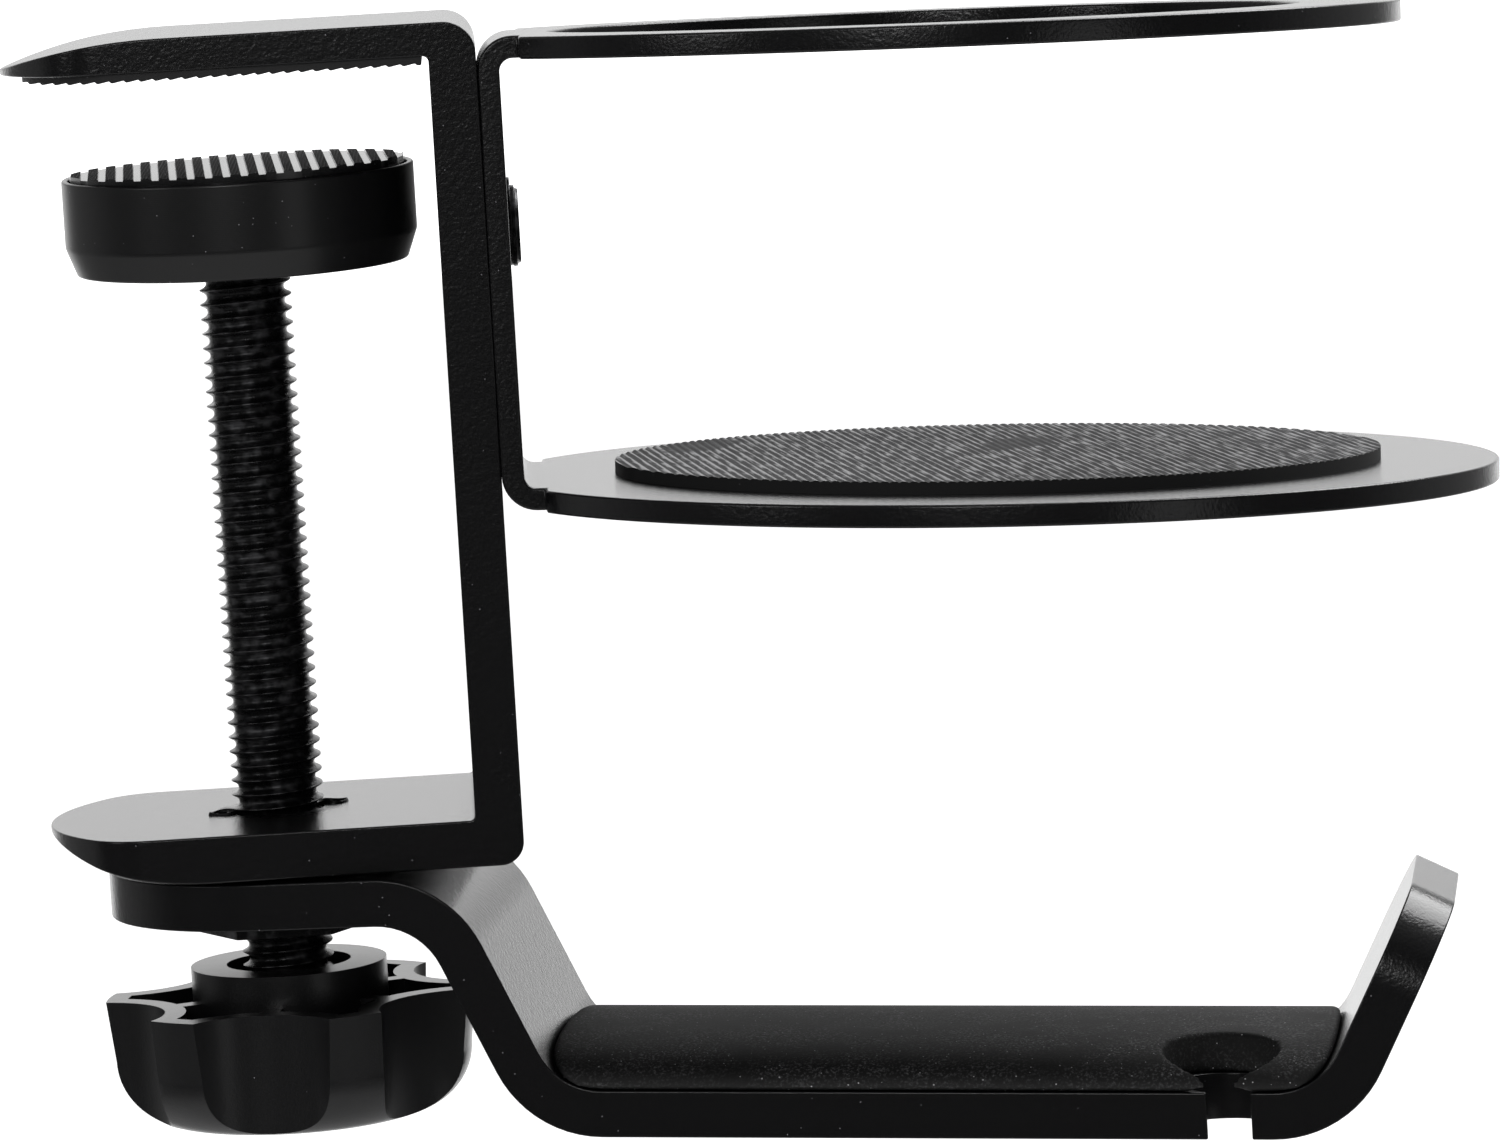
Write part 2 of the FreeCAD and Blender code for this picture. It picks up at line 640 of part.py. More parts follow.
RISER = "(-riser_angle)"
ARM = "(-arm_droop)"
TIP = "tip_angle"
KNEE = ("plate_run", HOOK_BOTTOM)
HEEL = (f"({KNEE[0]} + riser_drop / tan(riser_angle))", f"({KNEE[1]} - riser_drop)")
TOE = (f"({HEEL[0]} + arm_span)", f"({HEEL[1]} - arm_span * tan(arm_droop))")
END = (f"({TOE[0]} + tip_rise / tan(tip_angle))", f"({TOE[1]} + tip_rise)")
UPPER_KNEE = offset_corner(KNEE, "hook_thick", "0", RISER)
UPPER_HEEL = offset_corner(HEEL, "hook_thick", RISER, ARM)
UPPER_TOE = offset_corner(TOE, "hook_thick", ARM, TIP)
UPPER_END = along(END, "hook_thick", f"({TIP} + 90)")
SLOT_X = f"({TOE[0]} - slot_setback)"
EYE_Y = "(slot_eye - hook_width / 2)"


def cut_keyhole(body, neck, height):
    """The cable's way in from the near edge, and the eye behind it."""
    eye = new_sketch(body, "XY_Plane", {"z": TOE[1]})
    ring(eye, SLOT_X, EYE_Y, "slot_dia")
    pocket(body, eye, height, symmetric=True)
    way = new_sketch(body, "XY_Plane", {"z": TOE[1]})
    outline(way, [
        (f"({SLOT_X} - {neck} / 2)", "(-hook_width / 2 - overcut)"),
        (f"({SLOT_X} + {neck} / 2)", "(-hook_width / 2 - overcut)"),
        (f"({SLOT_X} + {neck} / 2)", EYE_Y),
        (f"({SLOT_X} - {neck} / 2)", EYE_Y),
    ])
    pocket(body, way, height, symmetric=True)


def make_hook_arm():
    """Steel bar with a round-ended plate, three bends and a keyhole for a cable."""
    body = new_body("hook_arm")
    half = "(hook_width / 2)"
    profile = new_sketch(body)
    outline(profile, [
        (f"(-{half})", HOOK_BOTTOM), KNEE, HEEL, TOE, END,
        UPPER_END, UPPER_TOE, UPPER_HEEL, UPPER_KNEE, (f"(-{half})", HOOK_TOP),
    ])
    pad(body, profile, "hook_width", symmetric=True)
    fillet(body, "hook_bend", [(x, "0", z) for x, z in (KNEE, UPPER_HEEL, UPPER_TOE)])
    fillet(body, "(hook_bend + hook_thick)", [(x, "0", z) for x, z in (UPPER_KNEE, HEEL, TOE)])
    middle = [f"(({low} + {high}) / 2)" for low, high in zip(END, UPPER_END)]
    fillet(body, "tip_corner", [(middle[0], side, middle[1]) for side in (half, f"(-{half})")])

    plan = new_sketch(body, "XY_Plane", {"z": HOOK_TOP})
    outside = f"({half} + overcut)"
    outline(plan, [
        ("0", half, half, "left"),
        (f"(-{half})", "0", half, "left"),
        ("0", f"(-{half})"),
        ("0", f"(-{outside})"),
        (f"(-{outside})", f"(-{outside})"),
        (f"(-{outside})", outside),
        ("0", outside),
    ])
    pocket(body, plan, "(hook_thick + overcut)")
    hole = new_sketch(body, "XY_Plane", {"z": HOOK_TOP})
    ring(hole, "0", "0", "(sleeve_dia + 2 * running_gap)")
    pocket(body, hole, "(hook_thick + overcut)")
    cut_keyhole(body, "slot_neck", "(4 * hook_thick)")
    place(body, axis=(0, 0, 1), angle="(-hook_turn)")


def make_hook_cushion():
    """Rubber saddle that fills the hook between its two lower bends."""
    body = new_body("hook_cushion")
    heel_run = "(hook_bend * tan((riser_angle - arm_droop) / 2))"
    toe_run = "(hook_bend * tan((tip_angle + arm_droop) / 2))"
    heel_height = "(cushion_rise / sin(riser_angle - arm_droop))"
    toe_height = "(cushion_rise / sin(tip_angle + arm_droop))"
    heel_end = along(UPPER_HEEL, heel_height, f"({RISER} + 180)")
    toe_end = along(UPPER_TOE, toe_height, TIP)
    profile = new_sketch(body)
    outline(profile, [
        (*along(UPPER_HEEL, heel_run, f"({RISER} + 180)"), "hook_bend", "left"),
        along(UPPER_HEEL, heel_run, ARM),
        (*along(UPPER_TOE, f"(-{toe_run})", ARM), "hook_bend", "left"),
        along(UPPER_TOE, toe_run, TIP),
        along(toe_end, "(-cushion_gap)", ARM),
        along(heel_end, "cushion_gap", ARM),
    ])
    pad(body, profile, "hook_width", symmetric=True)
    cut_keyhole(body, "cushion_slot", "(4 * (hook_thick + cushion_rise))")
    place(body, axis=(0, 0, 1), angle="(-hook_turn)")


# ---- the cup holder: heights are measured from its screw, about which it is turned a little ------

def place_on_holder(node):
    place(node, {"z": "(-screw_drop)"}, (1, 0, 0), "(-holder_clock)")


def disc_plan(sketch, centre, diameter):
    """A disc cut off straight where its bent flange begins."""
    half = f"sqrt(({diameter} / 2)^2 - ({centre} - neck_length)^2)"
    radius = f"({diameter} / 2)"
    outline(sketch, [
        ("neck_length", f"(-{half})", radius, "left"),
        (centre, f"(-{radius})", radius, "left"),
        (f"({centre} + {radius})", "0", radius, "left"),
        (centre, radius, radius, "left"),
        ("neck_length", half),
    ])


def make_cup_holder():
    """One sheet: an open ring above, a back plate, and a round platform below."""
    body = new_body("cup_holder")
    ring_top = "ring_rise"
    foot = "(-platform_drop)"
    reach = "(neck_length + disc_overlap)"
    ring_cover = "(holder_thick / cos(ring_droop))"
    foot_cover = "(holder_thick / cos(platform_droop))"
    ring_fall = "tan(ring_droop)"
    foot_fall = "tan(platform_droop)"
    flange = f"({BACK_FACE} + {reach})"
    profile = new_sketch(body)
    outline(profile, [
        (BACK_FACE, foot),
        (flange, f"({foot} - {reach} * {foot_fall})"),
        (flange, f"({foot} - {reach} * {foot_fall} + {foot_cover})"),
        (HOLDER_FACE, f"({foot} - holder_thick * {foot_fall} + {foot_cover})"),
        (HOLDER_FACE, f"({ring_top} - holder_thick * {ring_fall} - {ring_cover})"),
        (flange, f"({ring_top} - {reach} * {ring_fall} - {ring_cover})"),
        (flange, f"({ring_top} - {reach} * {ring_fall})"),
        (BACK_FACE, ring_top),
    ])
    pad(body, profile, "holder_width", symmetric=True)
    fillet(body, "holder_bend", [
        (HOLDER_FACE, "0", f"({foot} - holder_thick * {foot_fall} + {foot_cover})"),
        (HOLDER_FACE, "0", f"({ring_top} - holder_thick * {ring_fall} - {ring_cover})"),
    ])
    fillet(body, "(holder_bend + holder_thick)", [
        (BACK_FACE, "0", foot),
        (BACK_FACE, "0", ring_top),
    ])

    ring_plan = new_sketch(body, "XY_Plane", {"x": BACK_FACE, "z": ring_top}, (0, 1, 0), "ring_droop")
    disc_plan(ring_plan, "ring_place", "ring_dia")
    ring(ring_plan, "ring_place", "0", "cup_hole_dia")
    pad(body, ring_plan, "holder_thick", downwards=True)
    platform_plan = new_sketch(
        body, "XY_Plane", {"x": BACK_FACE, "z": foot}, (0, 1, 0), "platform_droop")
    disc_plan(platform_plan, "platform_place", "platform_dia")
    pad(body, platform_plan, "holder_thick")

    hole = new_sketch(body, "YZ_Plane", {"z": HOLDER_FACE})
    ring(hole, "0", "0", "holder_screw_dia")
    pocket(body, hole, "(holder_thick + overcut)")
    place_on_holder(body)


def make_cup_mat():
    """Textured rubber disc glued on the platform."""
    body = new_body("cup_mat")
    lifted = {
        "x": f"({BACK_FACE} + holder_thick * sin(platform_droop))",
        "z": "(-platform_drop + holder_thick * cos(platform_droop))",
    }
    plan = new_sketch(body, "XY_Plane", lifted, (0, 1, 0), "platform_droop")
    ring(plan, "platform_place", "0", "mat_dia")
    pad(body, plan, "mat_thick")
    place_on_holder(body)


def make_holder_washer():
    body = new_body("holder_washer")
    plan = new_sketch(body, "YZ_Plane", {"z": HOLDER_FACE})
    ring(plan, "0", "holder_washer_shift", "holder_washer_dia")
    ring(plan, "0", "holder_washer_shift", "(holder_screw_dia + 2 * holder_washer_shift)")
    pad(body, plan, "holder_washer_thick")
    place_on_holder(body)


def make_holder_screw():
    """Flat-headed screw through washer and back plate into the tapped clamp."""
    body = new_body("holder_screw")
    seat = f"({HOLDER_FACE} + holder_washer_thick)"
    face = f"({seat} + holder_head_thick)"
    crown = "(holder_head_thick / 2)"
    profile = new_sketch(body)
    outline(profile, [
        ("(throat_depth + holder_screw_end)", "0"),
        (face, "0"),
        (face, f"(holder_head_dia / 2 - {crown})", crown, "right"),
        (f"({face} - {crown})", "(holder_head_dia / 2)"),
        (seat, "(holder_head_dia / 2)"),
        (seat, "(holder_screw_dia / 2)"),
        ("(throat_depth + holder_screw_end)", "(holder_screw_dia / 2)"),
    ])
    revolve(body, profile, "X_Axis")
    socket = new_sketch(body, "YZ_Plane", {"z": face})
    outline(socket, [
        (f"(holder_drive / sqrt(3) * cos({60 * side}))", f"(holder_drive / sqrt(3) * sin({60 * side}))")
        for side in range(6)
    ])
    pocket(body, socket, "holder_drive_depth")
    place_on_holder(body)


# ---- build, test and write ---------------------------------------------------------------

make_clamp_frame()
make_jaw_pad()
make_swivel_washer()
make_threaded_bush()
make_clamp_screw()
make_knob()
make_knob_insert()
make_ball_liner()
make_pressure_cup()
make_pressure_pad()
make_hook_arm()
make_hook_cushion()
make_cup_holder()
make_cup_mat()
make_holder_washer()
make_holder_screw()
doc.recompute()

failed = [item.Label for item in doc.Objects if {"Invalid", "Error"} & set(item.State)]
if failed:
    raise ValueError(f"failed: {failed}")
for node in nodes:
    if node.Shape.isNull() or not node.Shape.isValid():
        raise ValueError(f"{node.Label}: no valid shape")

os.makedirs("parts", exist_ok=True)
for node in nodes:
    node.Shape.exportStep(os.path.join("parts", f"{node.Label}.step"))
    box = node.Shape.BoundBox
    print(f"{node.Label:16s} {len(node.Shape.Solids)} solid  {node.Shape.Volume:9.1f} mm3  "
          f"x {box.XMin:6.1f} {box.XMax:6.1f}  y {box.YMin:6.1f} {box.YMax:6.1f}  "
          f"z {box.ZMin:6.1f} {box.ZMax:6.1f}")
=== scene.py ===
import math

import bmesh
import bpy
from mathutils import Matrix, Vector


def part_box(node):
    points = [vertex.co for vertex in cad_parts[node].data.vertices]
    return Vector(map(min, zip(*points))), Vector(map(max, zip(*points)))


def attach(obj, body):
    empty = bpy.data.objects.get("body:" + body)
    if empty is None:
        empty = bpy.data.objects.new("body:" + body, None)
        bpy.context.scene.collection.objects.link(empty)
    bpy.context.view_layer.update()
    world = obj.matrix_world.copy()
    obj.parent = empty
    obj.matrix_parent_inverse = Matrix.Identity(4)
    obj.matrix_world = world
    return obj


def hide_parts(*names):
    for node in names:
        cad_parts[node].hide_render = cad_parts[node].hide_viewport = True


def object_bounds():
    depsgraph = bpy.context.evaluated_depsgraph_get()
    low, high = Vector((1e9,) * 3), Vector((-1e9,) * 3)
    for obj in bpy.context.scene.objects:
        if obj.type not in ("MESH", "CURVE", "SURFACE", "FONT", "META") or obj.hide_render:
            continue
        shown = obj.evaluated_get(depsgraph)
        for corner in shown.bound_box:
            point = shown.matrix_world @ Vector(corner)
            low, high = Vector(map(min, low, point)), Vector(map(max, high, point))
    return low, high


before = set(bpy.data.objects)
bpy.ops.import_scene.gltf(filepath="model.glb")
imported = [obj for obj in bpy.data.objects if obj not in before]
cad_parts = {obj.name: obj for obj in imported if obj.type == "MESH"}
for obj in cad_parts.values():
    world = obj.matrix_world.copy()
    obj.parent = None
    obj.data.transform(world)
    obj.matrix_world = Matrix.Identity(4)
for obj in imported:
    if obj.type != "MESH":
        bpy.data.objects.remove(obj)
cad_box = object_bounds()


# ---- The clamp's bar ----------------------------------------------------------------------
# Flat steel bar, 30 mm wide, bent to a C whose two noses are milled thin. It is sprayed with
# satin black polyester powder and baked, which rounds every edge a little. Two chisel cuts
# beside the lower hole stake the bush, and each has thrown up a burr.

MM = 0.001
COAT_BLACK = "#0c0c0d"
DUST_GREY = "#77767a"
COAT_EDGE = 0.3 * MM
COAT_ROUGHNESS = 0.24
PEEL_SIZE = 0.55 * MM      # orange peel of the baked powder
PEEL_HEIGHT = 0.022 * MM
GRAIN_SIZE = 0.26 * MM     # single powder grains
DUST_CELL = 1.3 * MM       # one speck to a cell, where the surface happens to cut it
DUST_SIZE = 0.05 * MM
WELD = 0.002 * MM
FLAT = math.radians(0.4)
SHARP = math.radians(28)
SHADE_BREAK = 1.4 * SHARP  # shading runs on over all edges less sharp than this
STAKED_ZONE = 7.6 * MM     # the hole and its chisel marks keep their crisp edges
STAKE_TURN = math.radians(18)
STAKE_MIDDLE = 4.9 * MM    # from the screw's axis
STAKE_HALF = (1.3 * MM, 1.2 * MM)
LIP_HEIGHT = 0.3 * MM
LIP_UNEVEN = 0.2           # share of its height by which the lip rises and falls
LIP_STEPS = 32
# place across the lip in mm, share of its height
LIP_FORM = [(0.16, -0.2), (0.09, 0.7), (0.02, 1), (-0.06, 0.7), (-0.13, -0.2)]


def to_linear(code):
    """An sRGB hex colour as linear red, green, blue and alpha."""
    shares = [int(code[start:start + 2], 16) / 255 for start in (1, 3, 5)]
    return [*(s / 12.92 if s <= 0.04045 else ((s + 0.055) / 1.055) ** 2.4 for s in shares), 1]


def add_node(finish, kind, settings=None, links=None):
    """Adds a node to a material, sets its properties and sockets, and links its sockets."""
    node = finish.node_tree.nodes.new("ShaderNode" + kind)
    for name, value in (settings or {}).items():
        if isinstance(name, int) or name in node.inputs:
            node.inputs[name].default_value = value
        else:
            setattr(node, name, value)
    for name, source in (links or {}).items():
        finish.node_tree.links.new(source, node.inputs[name])
    return node


def combined(finish, operation, first, second):
    """One value out of two by a math operation. Each is another node's output or a number."""
    node = add_node(finish, "Math", {"operation": operation})
    for socket, source in zip(node.inputs, (first, second)):
        if isinstance(source, (int, float)):
            socket.default_value = source
        else:
            finish.node_tree.links.new(source, socket)
    return node.outputs[0]


def ranged(finish, source, start, end, low=0, high=1):
    """A value that goes from low to high while its source goes from start to end."""
    return add_node(finish, "MapRange", {1: start, 2: end, 3: low, 4: high}, {0: source}).outputs[0]


def two_tone(finish, first, second, share):
    """A colour between two sRGB hex colours, by a share from another node."""
    colours = {"data_type": "RGBA", 6: to_linear(first), 7: to_linear(second)}
    return add_node(finish, "Mix", colours, {0: share}).outputs[2]


def noise(finish, place, size, detail):
    """A soft random pattern whose spots are about a given size."""
    return add_node(finish, "TexNoise", {"Scale": 1 / size, "Detail": detail},
                    {"Vector": place}).outputs["Fac"]


def new_finish(name, constants):
    """A material with its shader, whose constants are set on the shader's own sockets."""
    finish = bpy.data.materials.new(name)
    finish.use_nodes = True
    shader = finish.node_tree.nodes["Principled BSDF"]
    for socket, value in constants.items():
        shader.inputs[socket].default_value = value
    return finish, shader


def dusty(finish, place, colour, dust, cell, size):
    """A base colour with sparse specks of dust on it."""
    cells = add_node(finish, "TexVoronoi", {"Scale": 1 / cell}, {"Vector": place})
    near = combined(finish, "LESS_THAN", cells.outputs["Distance"], size / cell)
    return two_tone(finish, colour, dust, near)


def grained(finish, place, sizes, height):
    """A bumped normal from noises of several grain sizes, all of one height together."""
    total = 0.0
    for size in sizes:
        total = combined(finish, "ADD", noise(finish, place, size, 2), total)
    bump = add_node(finish, "Bump", {"Distance": height}, {"Height": total})
    return bump.outputs["Normal"]


def plain_finish(name, constants, colour, dust, cell, grains, height):
    """A finish of one colour all over, with sparse specks of dust and a grained surface."""
    finish, shader = new_finish(name, constants)
    place = add_node(finish, "TexCoord").outputs["Object"]
    links = finish.node_tree.links
    links.new(dusty(finish, place, colour, dust, cell, DUST_SIZE), shader.inputs["Base Color"])
    links.new(grained(finish, place, grains, height), shader.inputs["Normal"])
    return finish


def to_mesh(shape):
    """The finished mesh of a bmesh."""
    mesh = bpy.data.meshes.new("piece")
    shape.to_mesh(mesh)
    shape.free()
    return mesh


def softened(node, radius, apart=None):
    """A copy of a node's mesh with its flat faces joined and its sharp edges rounded, except
    the edges that apart(middle) says to leave."""
    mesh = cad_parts[node].data.copy()
    custom = mesh.attributes.get("custom_normal")
    if custom:
        mesh.attributes.remove(custom)
    shape = bmesh.new()
    shape.from_mesh(mesh)
    bmesh.ops.remove_doubles(shape, verts=shape.verts, dist=WELD)
    bmesh.ops.dissolve_limit(shape, angle_limit=FLAT, verts=shape.verts, edges=shape.edges)
    edges = [
        edge for edge in shape.edges
        if len(edge.link_faces) == 2 and edge.calc_face_angle(0) > SHARP
        and not (apart and apart((edge.verts[0].co + edge.verts[1].co) / 2))
    ]
    bmesh.ops.bevel(shape, geom=edges, offset=radius, segments=3, profile=0.5,
                    affect="EDGES", clamp_overlap=True)
    bmesh.ops.dissolve_degenerate(shape, dist=WELD / 4, edges=shape.edges)
    shape.to_mesh(mesh)
    shape.free()
    return mesh


def put(name, mesh, finishes, body, slot, *nodes):
    """Makes a piece of a mesh, with its finishes, that rides on a body and stands for nodes."""
    mesh.name = name
    if mesh.materials:   # clearing an empty list would also clear the faces' own choices
        mesh.materials.clear()
    for finish in finishes:
        mesh.materials.append(finish)
    mesh.polygons.foreach_set("use_smooth", [True] * len(mesh.polygons))
    mesh.set_sharp_from_angle(angle=SHADE_BREAK)
    piece = bpy.data.objects.new(name, mesh)
    bpy.context.scene.collection.objects.link(piece)
    weights = piece.modifiers.new("flat_faces_stay_flat", "WEIGHTED_NORMAL")
    weights.keep_sharp = True
    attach(piece, body)
    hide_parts(*nodes)
    return piece


def in_staked_zone(point):
    """True for a point near the screw's axis and below the cup: the bush's hole and its marks."""
    return math.hypot(point.x, point.y) < STAKED_ZONE and point.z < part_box("pressure_cup")[0].z


def add_lip(shape, turn, top):
    """Adds the burr that a chisel has thrown up around its mark."""
    rings = []
    for step in range(LIP_STEPS):
        along, across = (trig(math.tau * step / LIP_STEPS) for trig in (math.cos, math.sin))
        side = 1 if across > WELD else -1 if across < -WELD else 0
        out = Vector((2 * along * STAKE_HALF[1], side * STAKE_HALF[0], 0)).normalized()
        middle = Vector((STAKE_MIDDLE + along * STAKE_HALF[0],
                         side * across ** 2 * STAKE_HALF[1], top))
        swell = math.cos(3 * math.tau * step / LIP_STEPS)
        rise = LIP_HEIGHT * (1 - LIP_UNEVEN + LIP_UNEVEN * swell)
        points = [middle + out * off * MM + Vector((0, 0, share * rise)) for off, share in LIP_FORM]
        rings.append([shape.verts.new(Matrix.Rotation(turn, 3, "Z") @ point) for point in points])
    for ring, following in zip(rings, rings[1:] + rings[:1]):
        for here in range(len(ring)):
            there = (here + 1) % len(ring)
            shape.faces.new((ring[here], following[here], following[there], ring[there]))


# Satin powder coat: near black face on, silvery at a glance, with a faint orange peel.
coat = plain_finish("polyester_powder_coat", {"Roughness": COAT_ROUGHNESS, "IOR": 1.5},
                    COAT_BLACK, DUST_GREY, DUST_CELL, (PEEL_SIZE, GRAIN_SIZE), PEEL_HEIGHT)
bar = bmesh.new()
bar.from_mesh(softened("clamp_frame", COAT_EDGE, in_staked_zone))
for turn in (STAKE_TURN, STAKE_TURN + math.pi):
    add_lip(bar, turn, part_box("threaded_bush")[1].z)
put("clamp_bar", to_mesh(bar), [coat], "clamp", "powder_coat", "clamp_frame")


# ---- The jaw's rubber ---------------------------------------------------------------------
# Black rubber sheet bonded under the upper jaw, cut a little inside its edge.
# It is moulded with fine slanted teeth across the bar, which grip the desk's upper face.

RUBBER_BLACK = "#19191a"
RUBBER_DUST = "#5a5a5c"
RUBBER_DUST_CELL = 1.1 * MM
RUBBER_GRAIN = 0.09 * MM
TOOTH_PITCH = 1.22 * MM
TOOTH_DEPTH = 0.17 * MM
TOOTH_DROP, TOOTH_FLOOR = 0.15, 0.3   # shares of the pitch where its drop and its floor end
TOOTH_STEPS = 12
JAW_NOSE_RADIUS = 21 * MM
JAW_CORNER_RADIUS = 6 * MM


def rubber(name, roughness, height):
    """Moulded black rubber: dull, with a fine grain that breaks up the light."""
    return plain_finish(name, {"Roughness": roughness, "IOR": 1.5}, RUBBER_BLACK, RUBBER_DUST,
                        RUBBER_DUST_CELL, (RUBBER_GRAIN, 3 * RUBBER_GRAIN), height)


def sheet_across(stations, half_width, low, high):
    """A closed sheet made of straight runs across the bar: at each station along it a section
    reaches half_width to both sides, from low up to high."""
    shape = bmesh.new()
    sections = []
    for along in stations:
        reach, foot, top = half_width(along), low(along), high(along)
        corners = [(-reach, foot), (reach, foot), (reach, top), (-reach, top)]
        sections.append([shape.verts.new((along, across, level)) for across, level in corners])
    for left, right in zip(sections, sections[1:]):
        for here in range(4):
            there = (here + 1) % 4
            shape.faces.new((left[here], left[there], right[there], right[here]))
    shape.faces.new(sections[0][::-1])
    shape.faces.new(sections[-1])
    bmesh.ops.recalc_face_normals(shape, faces=shape.faces)
    return shape


def jaw_half_width(along):
    """Half the jaw rubber's width: straight sides, two corner arcs and one wide nose arc."""
    low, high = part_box("jaw_pad")
    nose_centre = low.x + JAW_NOSE_RADIUS
    inner = high.y - JAW_CORNER_RADIUS
    apart = math.sqrt((JAW_NOSE_RADIUS - JAW_CORNER_RADIUS) ** 2 - inner ** 2)
    corner = nose_centre - apart
    meeting = nose_centre - apart * JAW_NOSE_RADIUS / (JAW_NOSE_RADIUS - JAW_CORNER_RADIUS)
    if along >= corner:
        return high.y
    if along >= meeting:
        return inner + math.sqrt(JAW_CORNER_RADIUS ** 2 - (along - corner) ** 2)
    return math.sqrt(max(JAW_NOSE_RADIUS ** 2 - (along - nose_centre) ** 2, MM ** 2))


def jaw_tooth(along):
    """Height of the toothed underside: each tooth drops off steeply and slants back up."""
    share = (along / TOOTH_PITCH) % 1
    if share < TOOTH_DROP:
        return TOOTH_DEPTH * (1 - share / TOOTH_DROP)
    return TOOTH_DEPTH * max(share - TOOTH_FLOOR, 0) / (1 - TOOTH_FLOOR)


low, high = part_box("jaw_pad")
steps = int((high.x - low.x) / (TOOTH_PITCH / TOOTH_STEPS))
stations = [low.x + (high.x - low.x) * step / steps for step in range(steps + 1)]
teeth_rubber = rubber("moulded_rubber_teeth", 0.6, 0.01 * MM)
jaw_sheet = sheet_across(stations, jaw_half_width, jaw_tooth, lambda along: high.z)
put("jaw_rubber", to_mesh(jaw_sheet), [teeth_rubber], "clamp", "ribbed_rubber", "jaw_pad")


# ---- The swivel washer and the bush --------------------------------------------------------
# A thin nylon washer lets the hook turn under the lower jaw. A turned steel bush with a
# hexagon passes through hook, washer and jaw, and its end is staked over with two chisel cuts.

NYLON_BLACK = "#1d1d1d"
NYLON_GRAIN = 0.4 * MM
OXIDE_BLACK = "#1f1f20"
OXIDE_RUB = "#58585a"
RUBBED_SIZE = 1.3 * MM
TURNING_PITCH = 0.09 * MM
HEX_EDGE = 0.15 * MM


def black_oxide():
    """Black oxide on turned steel: a dark metal shine, rubbed lighter here and there."""
    finish, shader = new_finish("black_oxide_on_steel", {"Metallic": 0.75})
    place = add_node(finish, "TexCoord").outputs["Object"]
    patches = noise(finish, place, RUBBED_SIZE, 5)
    colour = two_tone(finish, OXIDE_BLACK, OXIDE_RUB, ranged(finish, patches, 0.5, 0.72))
    links = finish.node_tree.links
    links.new(colour, shader.inputs["Base Color"])
    links.new(ranged(finish, patches, 0.3, 0.7, 0.2, 0.42), shader.inputs["Roughness"])
    links.new(grained(finish, place, (TURNING_PITCH, 4 * TURNING_PITCH), 0.012 * MM),
              shader.inputs["Normal"])
    return finish


# Nylon cut from sheet: a waxy half gloss with a soft unevenness.
nylon_black = plain_finish("nylon_sheet", {"Roughness": 0.42, "IOR": 1.53}, NYLON_BLACK,
                           DUST_GREY, DUST_CELL, (NYLON_GRAIN,), 0.006 * MM)
steel_black = black_oxide()
for node in ("swivel_washer", "ball_liner"):
    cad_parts[node].data.materials.clear()
    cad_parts[node].data.materials.append(nylon_black)
put("hexagon_bush", softened("threaded_bush", HEX_EDGE, in_staked_zone), [steel_black],
    "clamp", "black_steel", "threaded_bush")


# ---- The clamp screw -----------------------------------------------------------------------
# M8 screw of blackened steel with a rolled right-hand thread, 1.25 mm to the turn.
# Its top is turned to a ball for the pressure cup, and its end is held in the knob's insert.

THREAD_PITCH = 1.25 * MM
THREAD_DEPTH = 0.6 * MM
BALL_RADIUS = 3.2 * MM
NECK_RADIUS = 2.2 * MM
THREAD_START = 3.4 * MM     # below the ball's centre
TURN_STEPS = 72
# share of the pitch, share of the depth: round root, flank, rolled crest with a faint seam, flank
THREAD_FORM = [(0, 0), (0.1, 0), (0.2, 0.06), (0.31, 0.26), (0.4, 0.58), (0.46, 0.87),
               (0.5, 0.98), (0.54, 1), (0.58, 0.95), (0.65, 0.7), (0.74, 0.34), (0.86, 0.07)]


def lathe(points, steps=TURN_STEPS):
    """A shape turned about the vertical axis from points (radius, height)."""
    shape = bmesh.new()
    turns = [Matrix.Rotation(math.tau * step / steps, 3, "Z") for step in range(steps)]
    rings = []
    for radius, height in points:
        if radius < WELD:
            rings.append([shape.verts.new((0, 0, height))])
            continue
        rings.append([shape.verts.new(turn @ Vector((radius, 0, height))) for turn in turns])
    for inner, outer in zip(rings, rings[1:]):
        for step in range(steps):
            loop = [inner[step % len(inner)], inner[(step + 1) % len(inner)],
                    outer[(step + 1) % len(outer)], outer[step % len(outer)]]
            corners = list(dict.fromkeys(loop))
            if len(corners) > 2:
                shape.faces.new(corners)
    bmesh.ops.recalc_face_normals(shape, faces=shape.faces)
    return shape


def arc(centre, radius, first, last, steps):
    """Points (radius, height) along an arc, between two angles in degrees."""
    angles = [math.radians(first + (last - first) * step / steps) for step in range(steps + 1)]
    return [(centre[0] + radius * math.cos(a), centre[1] + radius * math.sin(a)) for a in angles]


def threaded_rod(shape, crest, top, bottom):
    """Adds the thread as one helical skin, cut off level at its top and bottom."""
    shares = [step / TURN_STEPS for step in range(TURN_STEPS + 1)]
    around = [Matrix.Rotation(math.tau * share, 3, "Z") for share in shares]
    rows = []
    for turn in range(int((top - bottom) / THREAD_PITCH) + 2):
        for drop, depth in THREAD_FORM:
            row = []
            for share, turned_by in zip(shares, around):
                level = top + THREAD_PITCH * (share - turn - drop)
                reach = crest - THREAD_DEPTH * (1 - depth if bottom < level < top else 1)
                level = min(max(level, bottom), top)
                row.append(shape.verts.new(turned_by @ Vector((reach, 0, level))))
            rows.append(row)
    for upper, lower in zip(rows, rows[1:]):
        for step in range(TURN_STEPS):
            shape.faces.new((upper[step], lower[step], lower[step + 1], upper[step + 1]))
    bmesh.ops.remove_doubles(shape, verts=shape.verts, dist=WELD)
    bmesh.ops.dissolve_degenerate(shape, dist=WELD / 4, edges=shape.edges)


